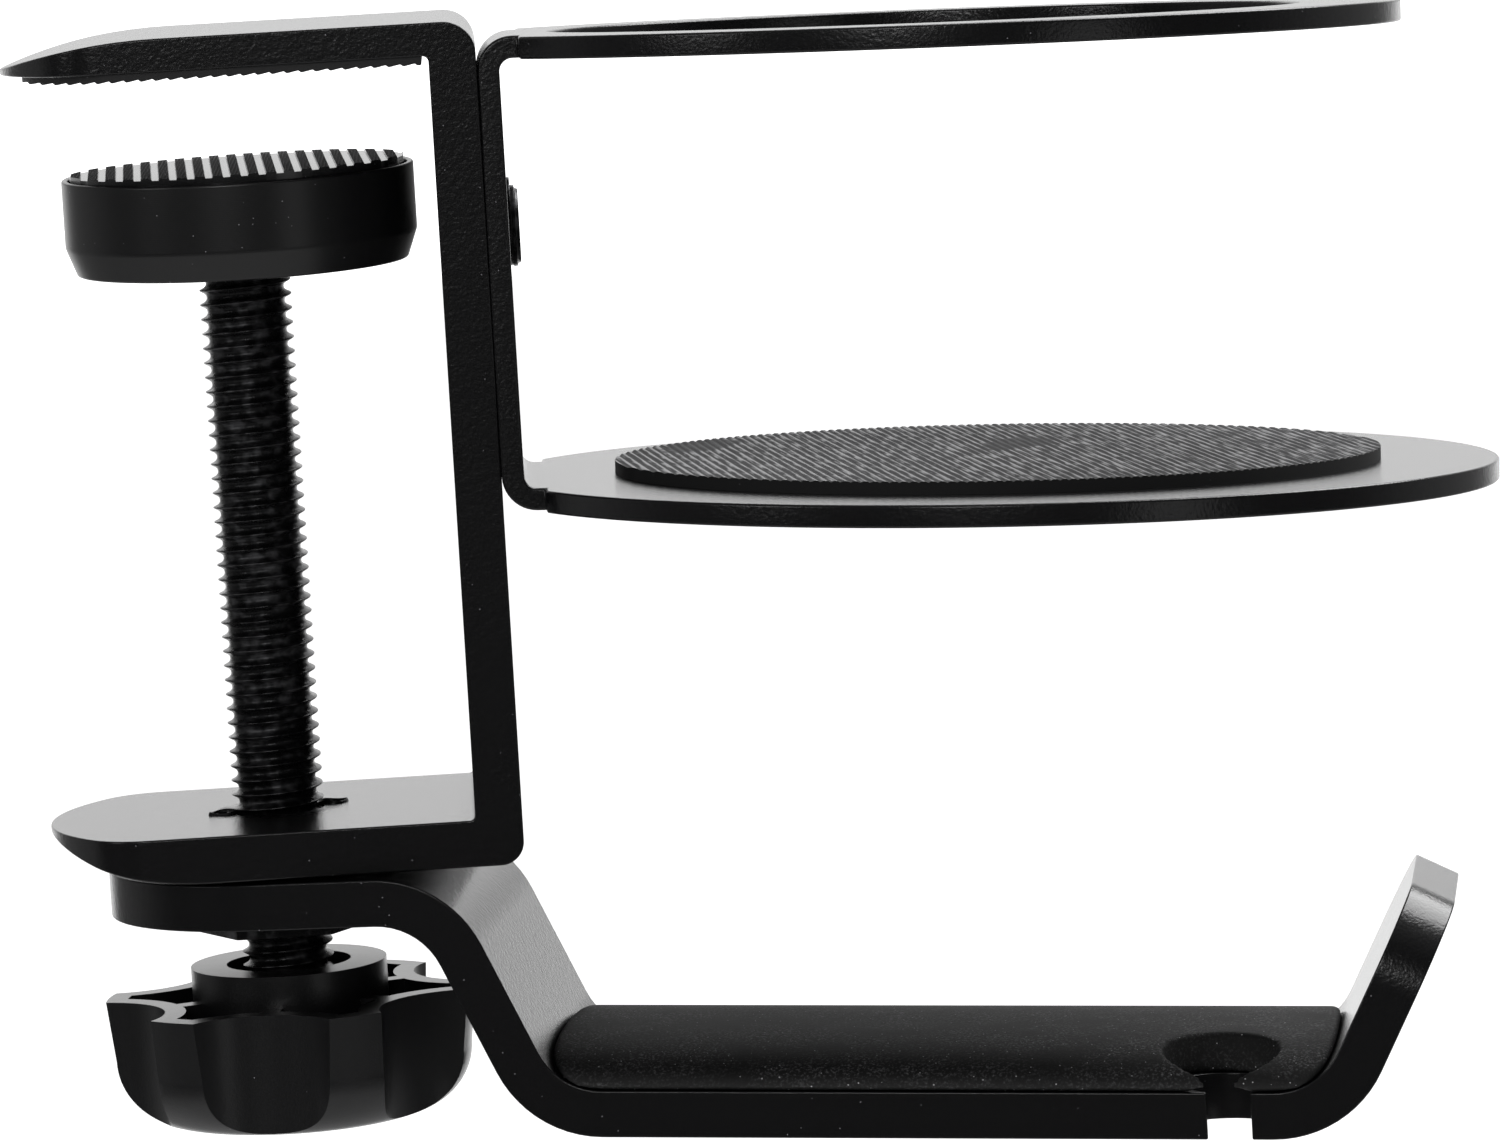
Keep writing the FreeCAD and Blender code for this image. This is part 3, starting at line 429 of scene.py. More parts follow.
screw_low, screw_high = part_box("clamp_screw")
ball_centre = screw_high.z - BALL_RADIUS
thread_top = ball_centre - THREAD_START
thread_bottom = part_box("knob_insert")[1].z
root = screw_high.x - THREAD_DEPTH
turned = [(radius, ball_centre + height) for radius, height in
          arc((0, 0), BALL_RADIUS, 90, -math.degrees(math.acos(NECK_RADIUS / BALL_RADIUS)), 16)]
turned += [(NECK_RADIUS, thread_top), (root, thread_top)]
shank = [(root, thread_bottom), (root, screw_low.z), (0, screw_low.z)]
screw = lathe(turned)
tail = to_mesh(lathe(shank))
screw.from_mesh(tail)
bpy.data.meshes.remove(tail)
threaded_rod(screw, screw_high.x, thread_top, thread_bottom)
put("m8_screw", to_mesh(screw), [steel_black], "screw", "black_steel", "clamp_screw")


# ---- The knob --------------------------------------------------------------------------------
# Injection-moulded ABS with six lobes, its underside domed and its top left open in pockets
# between hub and lobes, so that no wall is thick. The texture of the mould is a fine satin.

KNOB_BLACK = "#131314"
KNOB_EDGE = 0.35 * MM
KNOB_DUST_CELL = 1.8 * MM
MOULD_GRAIN = (0.14 * MM, 1.5 * MM)   # spark-eroded texture, and the walls' faint waviness

# Moulded ABS: an even satin that turns bright on faces seen at a glance.
moulded_abs = plain_finish("moulded_abs", {"Roughness": 0.3, "IOR": 1.53}, KNOB_BLACK, DUST_GREY,
                           KNOB_DUST_CELL, MOULD_GRAIN, 0.012 * MM)
put("lobe_knob", softened("knob", KNOB_EDGE), [moulded_abs], "screw", "knob_plastic", "knob")


# ---- The knob's insert -------------------------------------------------------------------------
# Zinc-plated steel insert, moulded into the hub. It holds the screw's end, and its bright
# face shows as a glint at the bottom of the hub's mouth.

ZINC_GREY = "#b9bbbe"
SPANGLE_SIZE = 0.5 * MM


def zinc_plate():
    """Bright zinc plating: a light metal with small spangles and a slight haze."""
    finish, shader = new_finish("bright_zinc_plate", {"Metallic": 1.0})
    place = add_node(finish, "TexCoord").outputs["Object"]
    spangle = add_node(finish, "TexVoronoi", {"Scale": 1 / SPANGLE_SIZE}, {"Vector": place})
    haze = ranged(finish, spangle.outputs["Distance"], 0, 1, 0.2, 0.42)
    links = finish.node_tree.links
    links.new(dusty(finish, place, ZINC_GREY, DUST_GREY, DUST_CELL, DUST_SIZE),
              shader.inputs["Base Color"])
    links.new(haze, shader.inputs["Roughness"])
    return finish


put("steel_insert", softened("knob_insert", HEX_EDGE), [zinc_plate()],
    "screw", "bright_steel", "knob_insert")


# ---- The pressure cup -----------------------------------------------------------------------
# Turned aluminium, anodised satin black, with a bevel below. Its lip is closed in under the
# screw's ball, so it tilts to the desk's underside and stays still while the screw turns.

CUP_BLACK = "#0e0e0f"
CUP_TILT = math.radians(1.3)
CUP_RADIUS = 15.1 * MM
CUP_RIM = 5.5 * MM            # heights are above the ball's centre
CUP_SIDE_FOOT = -0.3 * MM
CUP_FOOT = -2.75 * MM
CUP_FOOT_RADIUS = 14.2 * MM
CUP_SEAT = 4.6 * MM
CUP_SEAT_RADIUS = 14.55 * MM
CUP_MOUTH_RADIUS = 4.4 * MM
CUP_SOCKET_RADIUS = 3.8 * MM
CUP_LIP_RADIUS = 3.3 * MM
CUP_LIP_DROP = 28             # degrees below level at which the lip ends
CUP_ROUNDING = 0.22 * MM
CUP_DUST_CELL = 1.1 * MM
CUP_STEPS = 128
LATHE_MARK = 0.16 * MM
LATHE_DEPTH = 0.0012 * MM
WAVE = math.tau / 20          # a wave texture's scale, times the length of one wave


def anodised():
    """Black anodised aluminium off the lathe: satin, with fine rings from the tool."""
    finish, shader = new_finish("black_anodised_aluminium", {"Roughness": 0.33, "IOR": 1.55})
    place = add_node(finish, "TexCoord").outputs["Object"]
    rings = add_node(finish, "TexWave", {"bands_direction": "Z", "Scale": WAVE / LATHE_MARK,
                                         "Distortion": 0.4}, {"Vector": place})
    bump = add_node(finish, "Bump", {"Distance": LATHE_DEPTH}, {"Height": rings.outputs["Fac"]})
    links = finish.node_tree.links
    links.new(dusty(finish, place, CUP_BLACK, DUST_GREY, CUP_DUST_CELL, DUST_SIZE),
              shader.inputs["Base Color"])
    links.new(bump.outputs["Normal"], shader.inputs["Normal"])
    return finish


def rounded(points, radius, steps=4):
    """A line through points whose inner corners are rounded."""
    line = [points[0]]
    for before, here, after in zip(points, points[1:], points[2:]):
        corner = Vector(here)
        back, ahead = Vector(before) - corner, Vector(after) - corner
        reach = min(radius, back.length * 0.4, ahead.length * 0.4)
        start, end = corner + back.normalized() * reach, corner + ahead.normalized() * reach
        for step in range(steps + 1):
            share = step / steps
            first, second = start.lerp(corner, share), corner.lerp(end, share)
            line.append(tuple(first.lerp(second, share)))
    return line + [points[-1]]


def tilted(shape):
    """Moves a shape made about the ball's centre to its place, leaning as the cup does."""
    lean = Matrix.Translation((0, 0, ball_centre)) @ Matrix.Rotation(CUP_TILT, 4, "X")
    bmesh.ops.transform(shape, matrix=lean, verts=shape.verts)
    return shape


cup = rounded([
    (0, CUP_SEAT), (CUP_SEAT_RADIUS, CUP_SEAT), (CUP_SEAT_RADIUS, CUP_RIM), (CUP_RADIUS, CUP_RIM),
    (CUP_RADIUS, CUP_SIDE_FOOT), (CUP_FOOT_RADIUS, CUP_FOOT), (CUP_MOUTH_RADIUS, CUP_FOOT),
    arc((0, 0), CUP_LIP_RADIUS, -CUP_LIP_DROP, 0, 1)[0],
], CUP_ROUNDING)
cup += arc((0, 0), CUP_LIP_RADIUS, -CUP_LIP_DROP, 0, 6)[1:]
cup += arc((0, 0), CUP_SOCKET_RADIUS, 0, 90, 12)
put("turned_cup", to_mesh(tilted(lathe(cup, CUP_STEPS))), [anodised()],
    "cup", "black_aluminium", "pressure_cup")


# ---- The cup's rubber -----------------------------------------------------------------------
# Ribbed rubber disc glued into the cup. Broad flat ribs carry the print of the cloth that
# they were moulded against, and the grooves between them are smooth.

RIB_PITCH = 1.5 * MM
RIB_WIDTH = 0.82 * MM
RIB_HEIGHT = 0.16 * MM
RIB_FLANK = 0.06 * MM
RIB_TURN = math.radians(2.5)
RIB_START = 0.47 * MM      # middle of one groove, from the disc's middle
DISC_RADIUS = CUP_SEAT_RADIUS - 0.2 * MM
DISC_LEAN = (math.radians(-0.8), math.radians(-0.5))   # glued in a little askew
DISC_SINK = 0.1 * MM
DISC_FOOT, DISC_TOP = 0.02 * MM, 1.5 * MM              # above the cup's seat
CLOTH_THREAD = 0.3 * MM
CLOTH_DEPTH = 0.05 * MM
CLOTH_BLACK = "#121213"
CLOTH_FLUFF = "#8a8a8c"


def cloth_printed():
    """Rubber ribs moulded against cloth: quite dull, with a fine plain weave and pale lint."""
    finish, shader = new_finish("cloth_printed_rubber", {"Roughness": 0.8, "IOR": 1.5,
                                                         "Specular IOR Level": 0.1})
    place = add_node(finish, "TexCoord").outputs["Object"]
    warp = add_node(finish, "TexWave", {"bands_direction": "X", "Scale": WAVE / CLOTH_THREAD,
                                        "Distortion": 1.5}, {"Vector": place})
    weft = add_node(finish, "TexWave", {"bands_direction": "Y", "Scale": WAVE / CLOTH_THREAD / 3,
                                        "Distortion": 2.5}, {"Vector": place})
    weave = combined(finish, "MULTIPLY", warp.outputs["Fac"], weft.outputs["Fac"])
    lint = ranged(finish, weave, 0.35, 0.9, 0, 0.8)
    bump = add_node(finish, "Bump", {"Distance": CLOTH_DEPTH}, {"Height": weave})
    links = finish.node_tree.links
    links.new(two_tone(finish, CLOTH_BLACK, CLOTH_FLUFF, lint), shader.inputs["Base Color"])
    links.new(bump.outputs["Normal"], shader.inputs["Normal"])
    return finish


def ridge(along, pitch, width, flank):
    """Share of its height that a row of flat-topped ridges has at a place."""
    off = abs((along / pitch) % 1 - 0.5) * pitch
    return min(max((width / 2 + flank - off) / flank, 0), 1)


def ridged_disc(radius, low, high, height, pitch, width, flank, start=0):
    """A disc whose upper face has parallel ridges. Its side and the floors between the ridges
    have material 1."""
    def share_of_ridge(along):
        return ridge(along - start, pitch, width, flank)

    reach = radius * 0.999   # at the very rim a section would have no width
    stations = {-reach, reach}
    for number in range(int(-radius / pitch) - 2, int(radius / pitch) + 2):
        middle = (number + 0.5) * pitch + start
        for off in (width / 2, width / 2 + flank / 2, width / 2 + flank):
            stations |= {place for place in (middle - off, middle + off) if abs(place) < reach}
    disc = sheet_across(
        sorted(stations), lambda along: math.sqrt(radius ** 2 - along ** 2),
        lambda along: low, lambda along: high - height + height * share_of_ridge(along))
    disc.normal_update()
    for face in disc.faces:
        floor_there = share_of_ridge(face.calc_center_median().x) < 0.3
        face.material_index = floor_there or face.normal.z < 0.6
    return disc


disc = ridged_disc(DISC_RADIUS, CUP_SEAT + DISC_FOOT, CUP_SEAT + DISC_TOP, RIB_HEIGHT,
                   RIB_PITCH, RIB_WIDTH, RIB_FLANK, RIB_START)
askew = (Matrix.Translation((0, 0, -DISC_SINK)) @ Matrix.Rotation(DISC_LEAN[1], 4, "Y")
         @ Matrix.Rotation(DISC_LEAN[0], 4, "X") @ Matrix.Rotation(RIB_TURN, 4, "Z"))
bmesh.ops.transform(disc, matrix=askew, verts=disc.verts)
groove_rubber = rubber("smooth_rubber_grooves", 0.22, 0.001 * MM)
put("cup_rubber", to_mesh(tilted(disc)), [cloth_printed(), groove_rubber],
    "cup", "ribbed_rubber", "pressure_pad")


# ---- The hook's bar ---------------------------------------------------------------------------
# The same 30 mm bar as the clamp, bent three times and coated alike. Its round end turns on
# the bush, and a keyhole near its turned-up end lets a cable in from the side.

put("hook_bar", softened("hook_arm", COAT_EDGE), [coat], "hook", "powder_coat", "hook_arm")


# ---- The hook's saddle --------------------------------------------------------------------------
# Moulded silicone rubber, crowned across its width, that lies in the hook and carries the
# headband. It has the bar's keyhole with soft lips, and always draws a little dust.

SADDLE_BLACK = "#1e1e1e"
SADDLE_DUST = "#9a9a9c"
HOOK_TURN = math.radians(9)
ARM_DROOP = math.radians(2.2)
HEEL_PLACE = (25.214 * MM, -86.948 * MM)   # where riser and arm's upper faces would meet
ARM_LENGTH = 64.22 * MM      # between the corners of the arm's upper face
HEEL_TURN = math.radians(63.4)
TOE_TURN = math.radians(65.2)
BEND_RADIUS = 6 * MM
SADDLE_WIDTH = 30 * MM
SADDLE_CREST = 3.4 * MM
SADDLE_SIDE = 0.5 * MM       # upright strip along both lower edges
SADDLE_CLEARANCE = 0.1 * MM
SADDLE_CROWN = 2.5           # exponent of the crown's arc, which is fuller than a circle
SADDLE_SECTIONS = 36
END_CORNER = 0.5 * MM
END_STEPS = 12
SADDLE_UNDERCUT = 0.35 * MM  # the lower edges stand off the bar
EDGE_ZONE = 0.975            # share of the half width from which they do
EYE_PLACE = (55.85 * MM, -10.05 * MM)
EYE_RADIUS = 4.9 * MM
EYE_NECK = 2.5 * MM
SADDLE_VOXEL = 0.21 * MM
SADDLE_DUST_CELL, SADDLE_DUST_SIZE = 0.75 * MM, 0.06 * MM
LINT_SIZE = 0.24 * MM
DUST_PATCH = 5 * MM
SILICONE_GRAIN = (0.12 * MM, 0.5 * MM)


def bend_reach(height, turn):
    """How far the face of a bend stands in from its corner at a height over the arm."""
    tangent = BEND_RADIUS * math.tan(turn / 2)
    if height < tangent * math.sin(turn):
        return tangent - math.sqrt(BEND_RADIUS ** 2 - (BEND_RADIUS - height) ** 2)
    return -height / math.tan(turn)


def saddle_outline(crest):
    """The saddle's outline along the arm where it is crest high: both ends follow the bends up
    to round corners."""
    ends = []
    corner = min(END_CORNER, crest * 0.45)
    for turn in (HEEL_TURN, TOE_TURN):
        side = []
        for step in range(END_STEPS + 1):
            height = (crest - corner) * step / END_STEPS
            side.append((bend_reach(height, turn) + SADDLE_CLEARANCE, height))
        base = side[-1][0]
        for step in range(1, END_STEPS + 1):
            angle = math.pi / 2 * step / END_STEPS
            side.append((base + corner * (1 - math.cos(angle)),
                         crest - corner * (1 - math.sin(angle))))
        ends.append(side)
    heel, toe = ends
    return heel + [(ARM_LENGTH - reach, height) for reach, height in reversed(toe)]


def saddle_body():
    """Closed crowned body, in the arm's own directions."""
    shape = bmesh.new()
    sections = []
    for step in range(SADDLE_SECTIONS + 1):
        across = -math.cos(math.pi * step / SADDLE_SECTIONS)
        full = max(1 - abs(across) ** SADDLE_CROWN, 0) ** (1 / SADDLE_CROWN)
        crest = SADDLE_SIDE + (SADDLE_CREST - SADDLE_SIDE) * full
        lift = SADDLE_UNDERCUT if abs(across) > EDGE_ZONE else 0
        sections.append([shape.verts.new((along, across * SADDLE_WIDTH / 2, max(height, lift)))
                         for along, height in saddle_outline(crest)])
    for left, right in zip(sections, sections[1:]):
        for here in range(len(left)):
            there = (here + 1) % len(left)
            shape.faces.new((left[here], left[there], right[there], right[here]))
    shape.faces.new(sections[0][::-1])
    shape.faces.new(sections[-1])
    bmesh.ops.recalc_face_normals(shape, faces=shape.faces)
    return to_mesh(shape)


def box_shape(low, high):
    """A closed box between two corners."""
    shape = bmesh.new()
    bmesh.ops.create_cube(shape, size=1)
    for vertex in shape.verts:
        vertex.co = Vector(l + (c + 0.5) * (h - l) for l, c, h in zip(low, vertex.co, high))
    return shape


def eye_tool():
    """The keyhole's eye, as a cutter that stands through the saddle."""
    depth = 3 * SADDLE_CREST
    tool = lathe([(0, -depth), (EYE_RADIUS, -depth), (EYE_RADIUS, depth), (0, depth)])
    bmesh.ops.translate(tool, verts=tool.verts, vec=(*EYE_PLACE, 0))
    return tool


def neck_tool():
    """The keyhole's way in from the side, as a cutter."""
    along, across = EYE_PLACE
    half = SADDLE_WIDTH / 2
    return box_shape((along - EYE_NECK / 2, -half - MM, -half),
                     (along + EYE_NECK / 2, across, half))


def loose(name, mesh):
    """An object that is only worked on."""
    piece = bpy.data.objects.new(name, mesh)
    bpy.context.scene.collection.objects.link(piece)
    return piece


def worked(piece):
    """The mesh that a piece's modifiers make. The piece itself is removed."""
    bpy.context.view_layer.update()
    depsgraph = bpy.context.evaluated_depsgraph_get()
    mesh = bpy.data.meshes.new_from_object(piece.evaluated_get(depsgraph))
    bpy.data.objects.remove(piece)
    return mesh


def cut_away(mesh, tool):
    """A mesh less the space that a tool fills."""
    piece, cutter = loose("blank", mesh), loose("cutter", tool)
    cut = piece.modifiers.new("cut", "BOOLEAN")
    cut.object, cut.operation, cut.solver = cutter, "DIFFERENCE", "EXACT"
    result = worked(piece)
    bpy.data.objects.remove(cutter)
    return result


def silicone():
    """Silicone rubber: dead matt and grippy, so that dust and lint stay all over it."""
    finish, shader = new_finish("matt_silicone_rubber", {"Roughness": 0.7, "IOR": 1.45,
                                                         "Specular IOR Level": 0.14})
    spot = add_node(finish, "TexCoord")
    place = spot.outputs["Object"]
    fine = dusty(finish, place, SADDLE_BLACK, SADDLE_DUST, SADDLE_DUST_CELL, SADDLE_DUST_SIZE)
    upward = add_node(finish, "SeparateXYZ", {}, {0: spot.outputs["Normal"]}).outputs["Z"]
    settled = ranged(finish, upward, 0.4, 1, 0.3, 1)
    lint = add_node(finish, "TexNoise", {"Scale": 1 / LINT_SIZE, "Detail": 3, "Roughness": 0.7},
                    {"Vector": place}).outputs["Fac"]
    spread = ranged(finish, noise(finish, place, DUST_PATCH, 3), 0.35, 0.65, 0.1, 1)
    spots = combined(finish, "MULTIPLY", ranged(finish, lint, 0.5, 0.74, 0, 0.5), spread)
    amount = combined(finish, "MULTIPLY", spots, settled)
    colour = add_node(finish, "Mix", {"data_type": "RGBA", 7: to_linear(SADDLE_DUST)},
                      {0: amount, 6: fine})
    links = finish.node_tree.links
    links.new(colour.outputs[2], shader.inputs["Base Color"])
    links.new(grained(finish, place, SILICONE_GRAIN, 0.02 * MM), shader.inputs["Normal"])
    return finish


blank = cut_away(saddle_body(), to_mesh(eye_tool()))
saddle = loose("saddle_blank", cut_away(blank, to_mesh(neck_tool())))
remesh = saddle.modifiers.new("even_skin", "REMESH")
remesh.mode, remesh.voxel_size = "VOXEL", SADDLE_VOXEL
soften = saddle.modifiers.new("soft_edges", "SMOOTH")
soften.factor, soften.iterations = 0.5, 8
saddle_mesh = worked(saddle)
to_arm = (Matrix.Rotation(-HOOK_TURN, 4, "Z")
          @ Matrix.Translation((HEEL_PLACE[0], 0, HEEL_PLACE[1]))
          @ Matrix.Rotation(ARM_DROOP, 4, "Y"))
saddle_mesh.transform(to_arm)
saddle = put("hook_saddle", saddle_mesh, [silicone()], "hook", "cushion_rubber", "hook_cushion")


# ---- The cup holder ---------------------------------------------------------------------------
# One blank of 1.9 mm steel sheet, laser cut and bent twice: an open ring above, a back plate
# and a round platform below. It is coated like the clamp.

SHEET_EDGE = 0.24 * MM

put("holder_sheet", softened("cup_holder", SHEET_EDGE), [coat],
    "clamp", "powder_coat", "cup_holder")


# ---- The mat ------------------------------------------------------------------------------------
# Rubber disc glued on the platform, moulded with fine cords so that a cup doesn't slip.
# Pale dashes along its cords are painted sheen, and the rubber is also glossier there. In two
# patches the painted sheen is dimmed, so these patches look darker.

MAT_BLACK = "#2e2e30"
# colour of the painted sheen on the cords
MAT_PAINTED_SHEEN = "#8e8e90"
MAT_RADIUS = 33.05 * MM
MAT_THICKNESS = 1.1 * MM
PLATFORM_DROOP = math.radians(2.1)
HOLDER_CLOCK = math.radians(-1.2)
CORD_PITCH = 0.76 * MM
CORD_WIDTH = 0.3 * MM
CORD_FLANK = 0.2 * MM
CORD_HEIGHT = 0.1 * MM
CORD_TURN = math.radians(4.8)
CORD_STITCH = 5 * MM         # length of one pale dash along a cord
CORD_GRAIN = 0.5 * MM        # and its width
# two patches where the painted sheen is dimmed, so they look darker
DARK_PATCHES = ((-25 * MM, 15 * MM), (2.5 * MM, 9 * MM))   # from the mat's centre
DARK_PATCH_SIZE = (4 * MM, 12 * MM)
DARK_PATCH_LEAN = (0, 0, math.radians(-17))
DARK_PATCH_RAGGED = 4 * MM
MAT_GRAIN = (0.2 * MM, 0.6 * MM)
MAT_SHEEN_DIM = 0.5   # share by which the painted sheen is dimmed all over, from 0 to 1; the darker patches go above it


def corded():
    """Rubber with moulded cords. Pale dashes along each cord are painted sheen and are glossier
    too. They are dimmed all over, and further in two darker, duller patches.
    """
    finish, shader = new_finish("cord_moulded_rubber", {"IOR": 1.5, "Specular IOR Level": 0.42})
    place = add_node(finish, "TexCoord").outputs["Object"]
    turned = add_node(finish, "Mapping", {
        "vector_type": "TEXTURE", "Rotation": (0, 0, CORD_TURN),
        "Scale": (1, CORD_STITCH / CORD_GRAIN, 1)}, {"Vector": place}).outputs[0]
    cords = add_node(finish, "TexWave", {"bands_direction": "X", "Scale": WAVE / CORD_PITCH,
                                         "Distortion": 0.6}, {"Vector": turned})
    ridges = combined(finish, "MULTIPLY", cords.outputs["Fac"], 0.4)
    pale = combined(finish, "ADD", ridges, noise(finish, turned, CORD_GRAIN, 1))
    # how far the painted sheen is dimmed, all over and more in the darker patches
    dimmed = MAT_SHEEN_DIM
    for along, across in DARK_PATCHES:
        middle = mat_middle + Vector((along, across, 0))
        within = add_node(finish, "Mapping", {
            "vector_type": "TEXTURE", "Location": middle, "Rotation": DARK_PATCH_LEAN,
            "Scale": (*DARK_PATCH_SIZE, 1)}, {"Vector": place})
        far = add_node(finish, "VectorMath", {"operation": "LENGTH"}, {0: within.outputs[0]})
        ragged = combined(finish, "ADD", far.outputs["Value"], noise(finish, place, DARK_PATCH_RAGGED, 3))
        dimmed = combined(finish, "MAXIMUM", ranged(finish, ragged, 1.15, 1.5, 1, 0), dimmed)
    kept = ranged(finish, dimmed, 0, 1, 1, 0.1)
    # painted sheen on the cords: the pale colour is painted, the drop in roughness is real gloss
    crest = combined(finish, "MULTIPLY", ranged(finish, pale, 0.5, 0.74), kept)
    links = finish.node_tree.links
    links.new(two_tone(finish, MAT_BLACK, MAT_PAINTED_SHEEN, crest), shader.inputs["Base Color"])
    links.new(ranged(finish, crest, 0, 1, 0.95, 0.16), shader.inputs["Roughness"])
    links.new(grained(finish, place, MAT_GRAIN, 0.006 * MM), shader.inputs["Normal"])
    return finish


mat_low, mat_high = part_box("cup_mat")
mat_middle = (mat_low + mat_high) / 2
mat = ridged_disc(MAT_RADIUS, -MAT_THICKNESS / 2, MAT_THICKNESS / 2, CORD_HEIGHT,
                  CORD_PITCH, CORD_WIDTH, CORD_FLANK)
to_platform = (Matrix.Translation(mat_middle) @ Matrix.Rotation(HOLDER_CLOCK, 4, "X")
               @ Matrix.Rotation(PLATFORM_DROOP, 4, "Y") @ Matrix.Rotation(CORD_TURN, 4, "Z"))
bmesh.ops.transform(mat, matrix=to_platform, verts=mat.verts)
put("corded_mat", to_mesh(mat), [corded(), rubber("smooth_rubber_sides", 0.75, 0.01 * MM)],
    "clamp", "mat_rubber", "cup_mat")


# ---- The holder's screw and washer ---------------------------------------------------------------
# A flat-headed M4 socket screw of blackened steel, with a thin washer, holds the cup holder
# to the tapped back of the clamp.

SCREW_EDGE = 0.08 * MM
WASHER_EDGE = 0.06 * MM

put("flat_screw", softened("holder_screw", SCREW_EDGE), [steel_black],
    "clamp", "black_steel", "holder_screw")
put("screw_washer", softened("holder_washer", WASHER_EDGE), [steel_black],
    "clamp", "black_steel", "holder_washer")


# ---- Floor, light and camera ---------------------------------------------------------------------
# A pale floor well below the part, a bright wall of light behind it and a dim front, so that
# faces turned to the camera stay black and those seen at a glance shine. Four soft boxes add
# the broad highlights on the cup, the knob and the hook's tip.

FLOOR_DROP = 0.35
FLOOR_HALF = 6
FLOOR_DEPTH = 0.01
FLOOR_PATCH = 1 / 3
FLOOR_PALE, FLOOR_PALER = "#f2f2f2", "#f6f6f6"
CAMERA_LENS = 177.24
CAMERA_TARGET = Vector((41.95, 0, -46.03)) * MM
CAMERA_DISTANCE = 639.2 * MM
CAMERA_YAW = 0.034
CAMERA_PITCH = math.radians(6.45)
CAMERA_ROLL = math.radians(-3.3)
FRONT_LIGHT = 0.035
SIDE_LIGHT = 0.22
SIDE_START, SIDE_FULL = -0.3, 0.4      # how far back a direction points, from -1 before to 1 behind
BACK_LIGHT = (0.6, 1.5)                # in the seam across the lit wall, and from BACK_RISE off it
BACK_SEAM = 0.08
BACK_RISE = 0.1
BACK_START, BACK_FULL = 0.8, 0.95
TOP_LIGHT = 0.3
TOP_START, TOP_FULL = 0.45, 1.0        # how far up a direction points
FLOOR_LIGHT = 0.5
FLOOR_START, FLOOR_FULL = -0.25, -0.75
FLOOR_GLOW = 1.0
# name, place, aim, size in metres, power in watts
SOFT_BOXES = [
    ("overhead", (0.7, 0.45, 1.05), (0.06, 0, -0.05), 1.0, 24),
    ("left_front", (-1.3, -0.85, 0.4), (0, 0, -0.05), 0.45, 2.4),
    ("low_front", (-0.25, -1.58, 0.44), (0.1, 0, -0.05), 0.4, 3.6),
    ("right_front", (0.9, -1.2, -0.15), (0, 0, -0.05), 0.45, 0.4),
]


def pale_floor():
    """Matt white board with a faint unevenness."""
    finish, shader = new_finish("matt_white_board", {
        "Roughness": 0.9, "Emission Strength": FLOOR_GLOW, "Emission Color": to_linear(FLOOR_PALE)})
    place = add_node(finish, "TexCoord").outputs["Object"]
    colour = two_tone(finish, FLOOR_PALE, FLOOR_PALER, noise(finish, place, FLOOR_PATCH, 2))
    finish.node_tree.links.new(colour, shader.inputs["Base Color"])
    return finish


def ramp(world, along, start, full, low=0, high=1):
    """A level that goes smoothly from low to high as a direction turns from start to full."""
    values = {"interpolation_type": "SMOOTHSTEP", 1: start, 2: full, 3: low, 4: high}
    return add_node(world, "MapRange", values, {0: along}).outputs[0]


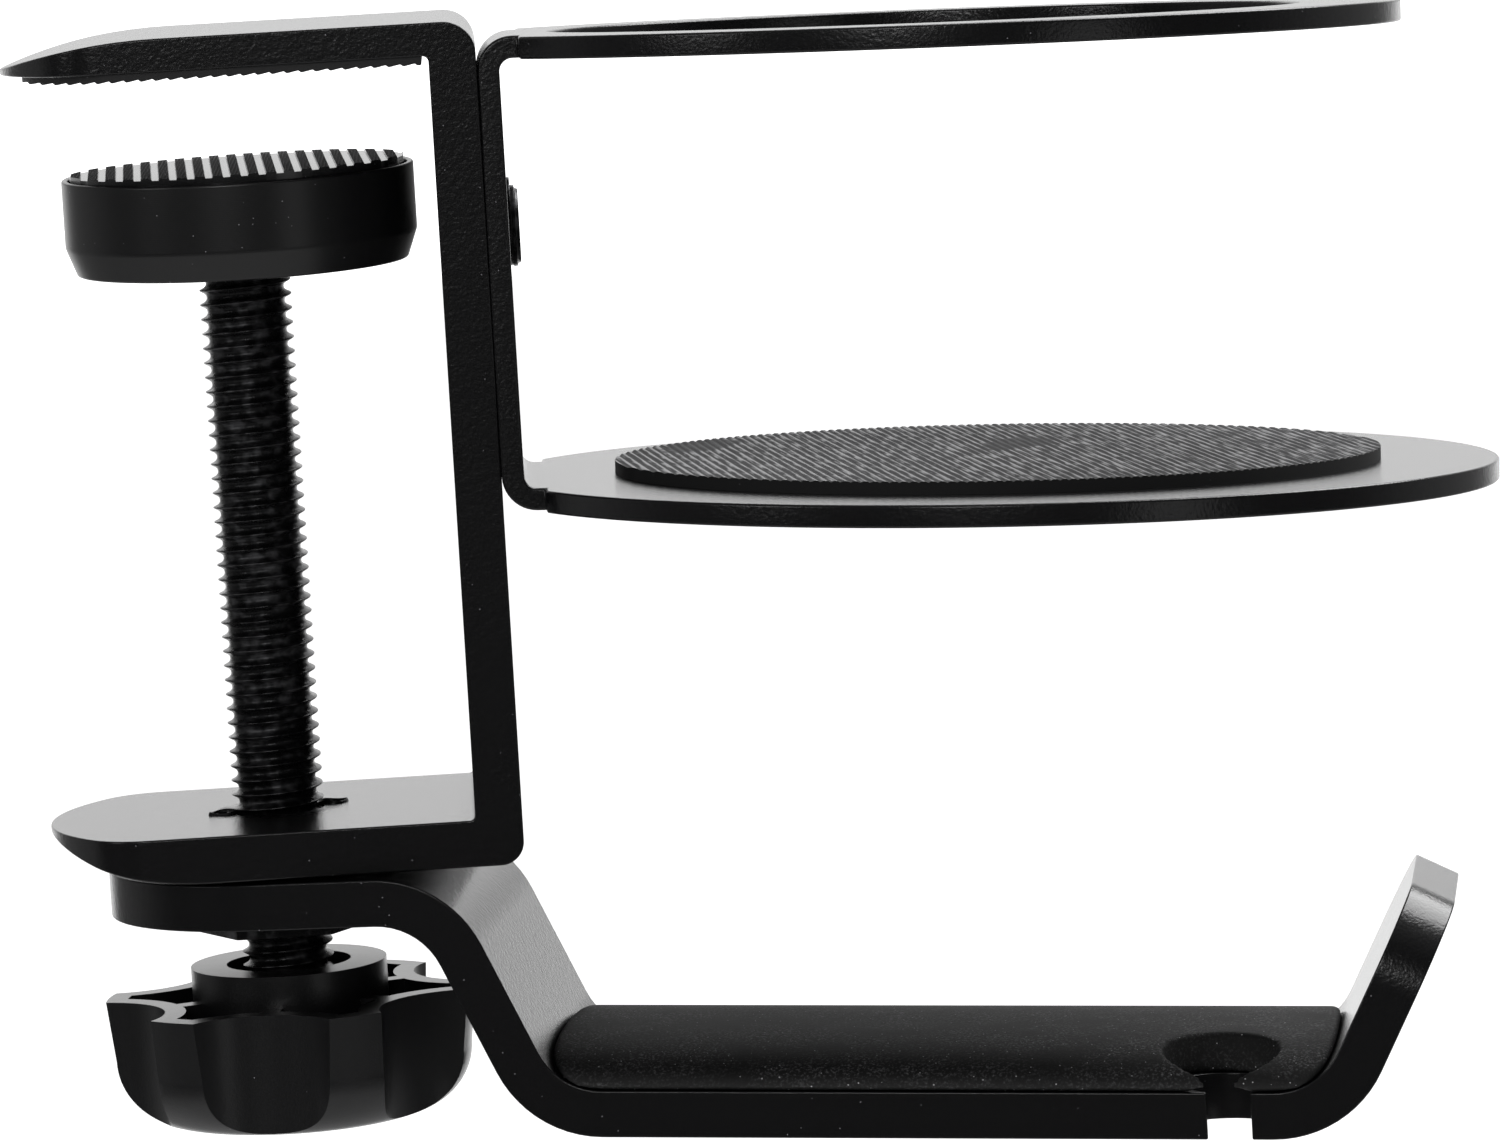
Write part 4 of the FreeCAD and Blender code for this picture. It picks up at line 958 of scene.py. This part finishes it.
def studio_world():
    """Light from all round: bright behind and above, dim before. The camera sees it as white."""
    world = bpy.data.worlds.new("studio")
    world.use_nodes = True
    direction = add_node(world, "TexCoord").outputs["Generated"]
    parts = add_node(world, "SeparateXYZ", {}, {0: direction})
    back, up = parts.outputs["Y"], parts.outputs["Z"]
    off_seam = combined(world, "SUBTRACT", up, BACK_SEAM)
    off_seam = combined(world, "MAXIMUM", off_seam, combined(world, "MULTIPLY", off_seam, -1))
    wall = combined(world, "MULTIPLY", ranged(world, off_seam, 0, BACK_RISE, *BACK_LIGHT),
                    ramp(world, back, BACK_START, BACK_FULL))
    level = combined(world, "ADD", wall,
                     ramp(world, back, SIDE_START, SIDE_FULL, FRONT_LIGHT, SIDE_LIGHT))
    upright = combined(world, "ADD", ramp(world, up, TOP_START, TOP_FULL, 0, TOP_LIGHT),
                       ramp(world, up, FLOOR_START, FLOOR_FULL, 0, FLOOR_LIGHT))
    seen = add_node(world, "LightPath").outputs["Is Camera Ray"]
    strength = combined(world, "MAXIMUM", combined(world, "MAXIMUM", level, upright), seen)
    sky = world.node_tree.nodes["Background"]
    sky.inputs["Color"].default_value = (1, 1, 1, 1)
    world.node_tree.links.new(strength, sky.inputs["Strength"])
    return world


def soft_box(name, place, aim, size, power):
    """A square area light at a place, aimed at a point."""
    light = bpy.data.lights.new(name, "AREA")
    light.size, light.energy = size, power
    lamp = bpy.data.objects.new(name, light)
    lamp.location = place
    lamp.rotation_euler = (Vector(aim) - Vector(place)).to_track_quat("-Z", "Y").to_euler()
    bpy.context.scene.collection.objects.link(lamp)


floor_top = cad_box[0].z - FLOOR_DROP
floor_box = box_shape((-FLOOR_HALF, -FLOOR_HALF, floor_top - FLOOR_DEPTH),
                      (FLOOR_HALF, FLOOR_HALF, floor_top))
floor = loose("floor", to_mesh(floor_box))
floor.data.materials.append(pale_floor())
floor.visible_glossy = False
bpy.context.scene.world = studio_world()
for values in SOFT_BOXES:
    soft_box(*values)

level = Vector((math.cos(CAMERA_YAW), -math.sin(CAMERA_YAW), 0))
ahead = Vector((math.sin(CAMERA_YAW), math.cos(CAMERA_YAW), 0))
forward = math.cos(CAMERA_PITCH) * ahead - math.sin(CAMERA_PITCH) * Vector((0, 0, 1))
upright = level.cross(forward)
right = math.cos(CAMERA_ROLL) * level + math.sin(CAMERA_ROLL) * upright
up = math.cos(CAMERA_ROLL) * upright - math.sin(CAMERA_ROLL) * level
camera = bpy.data.objects.new("camera", bpy.data.cameras.new("camera"))
camera.data.lens = CAMERA_LENS
camera.matrix_world = Matrix.Translation(CAMERA_TARGET - CAMERA_DISTANCE * forward) @ Matrix(
    (right, up, -forward)).transposed().to_4x4()
bpy.context.scene.collection.objects.link(camera)
bpy.context.scene.camera = camera
bpy.context.scene.view_settings.view_transform = "Standard"
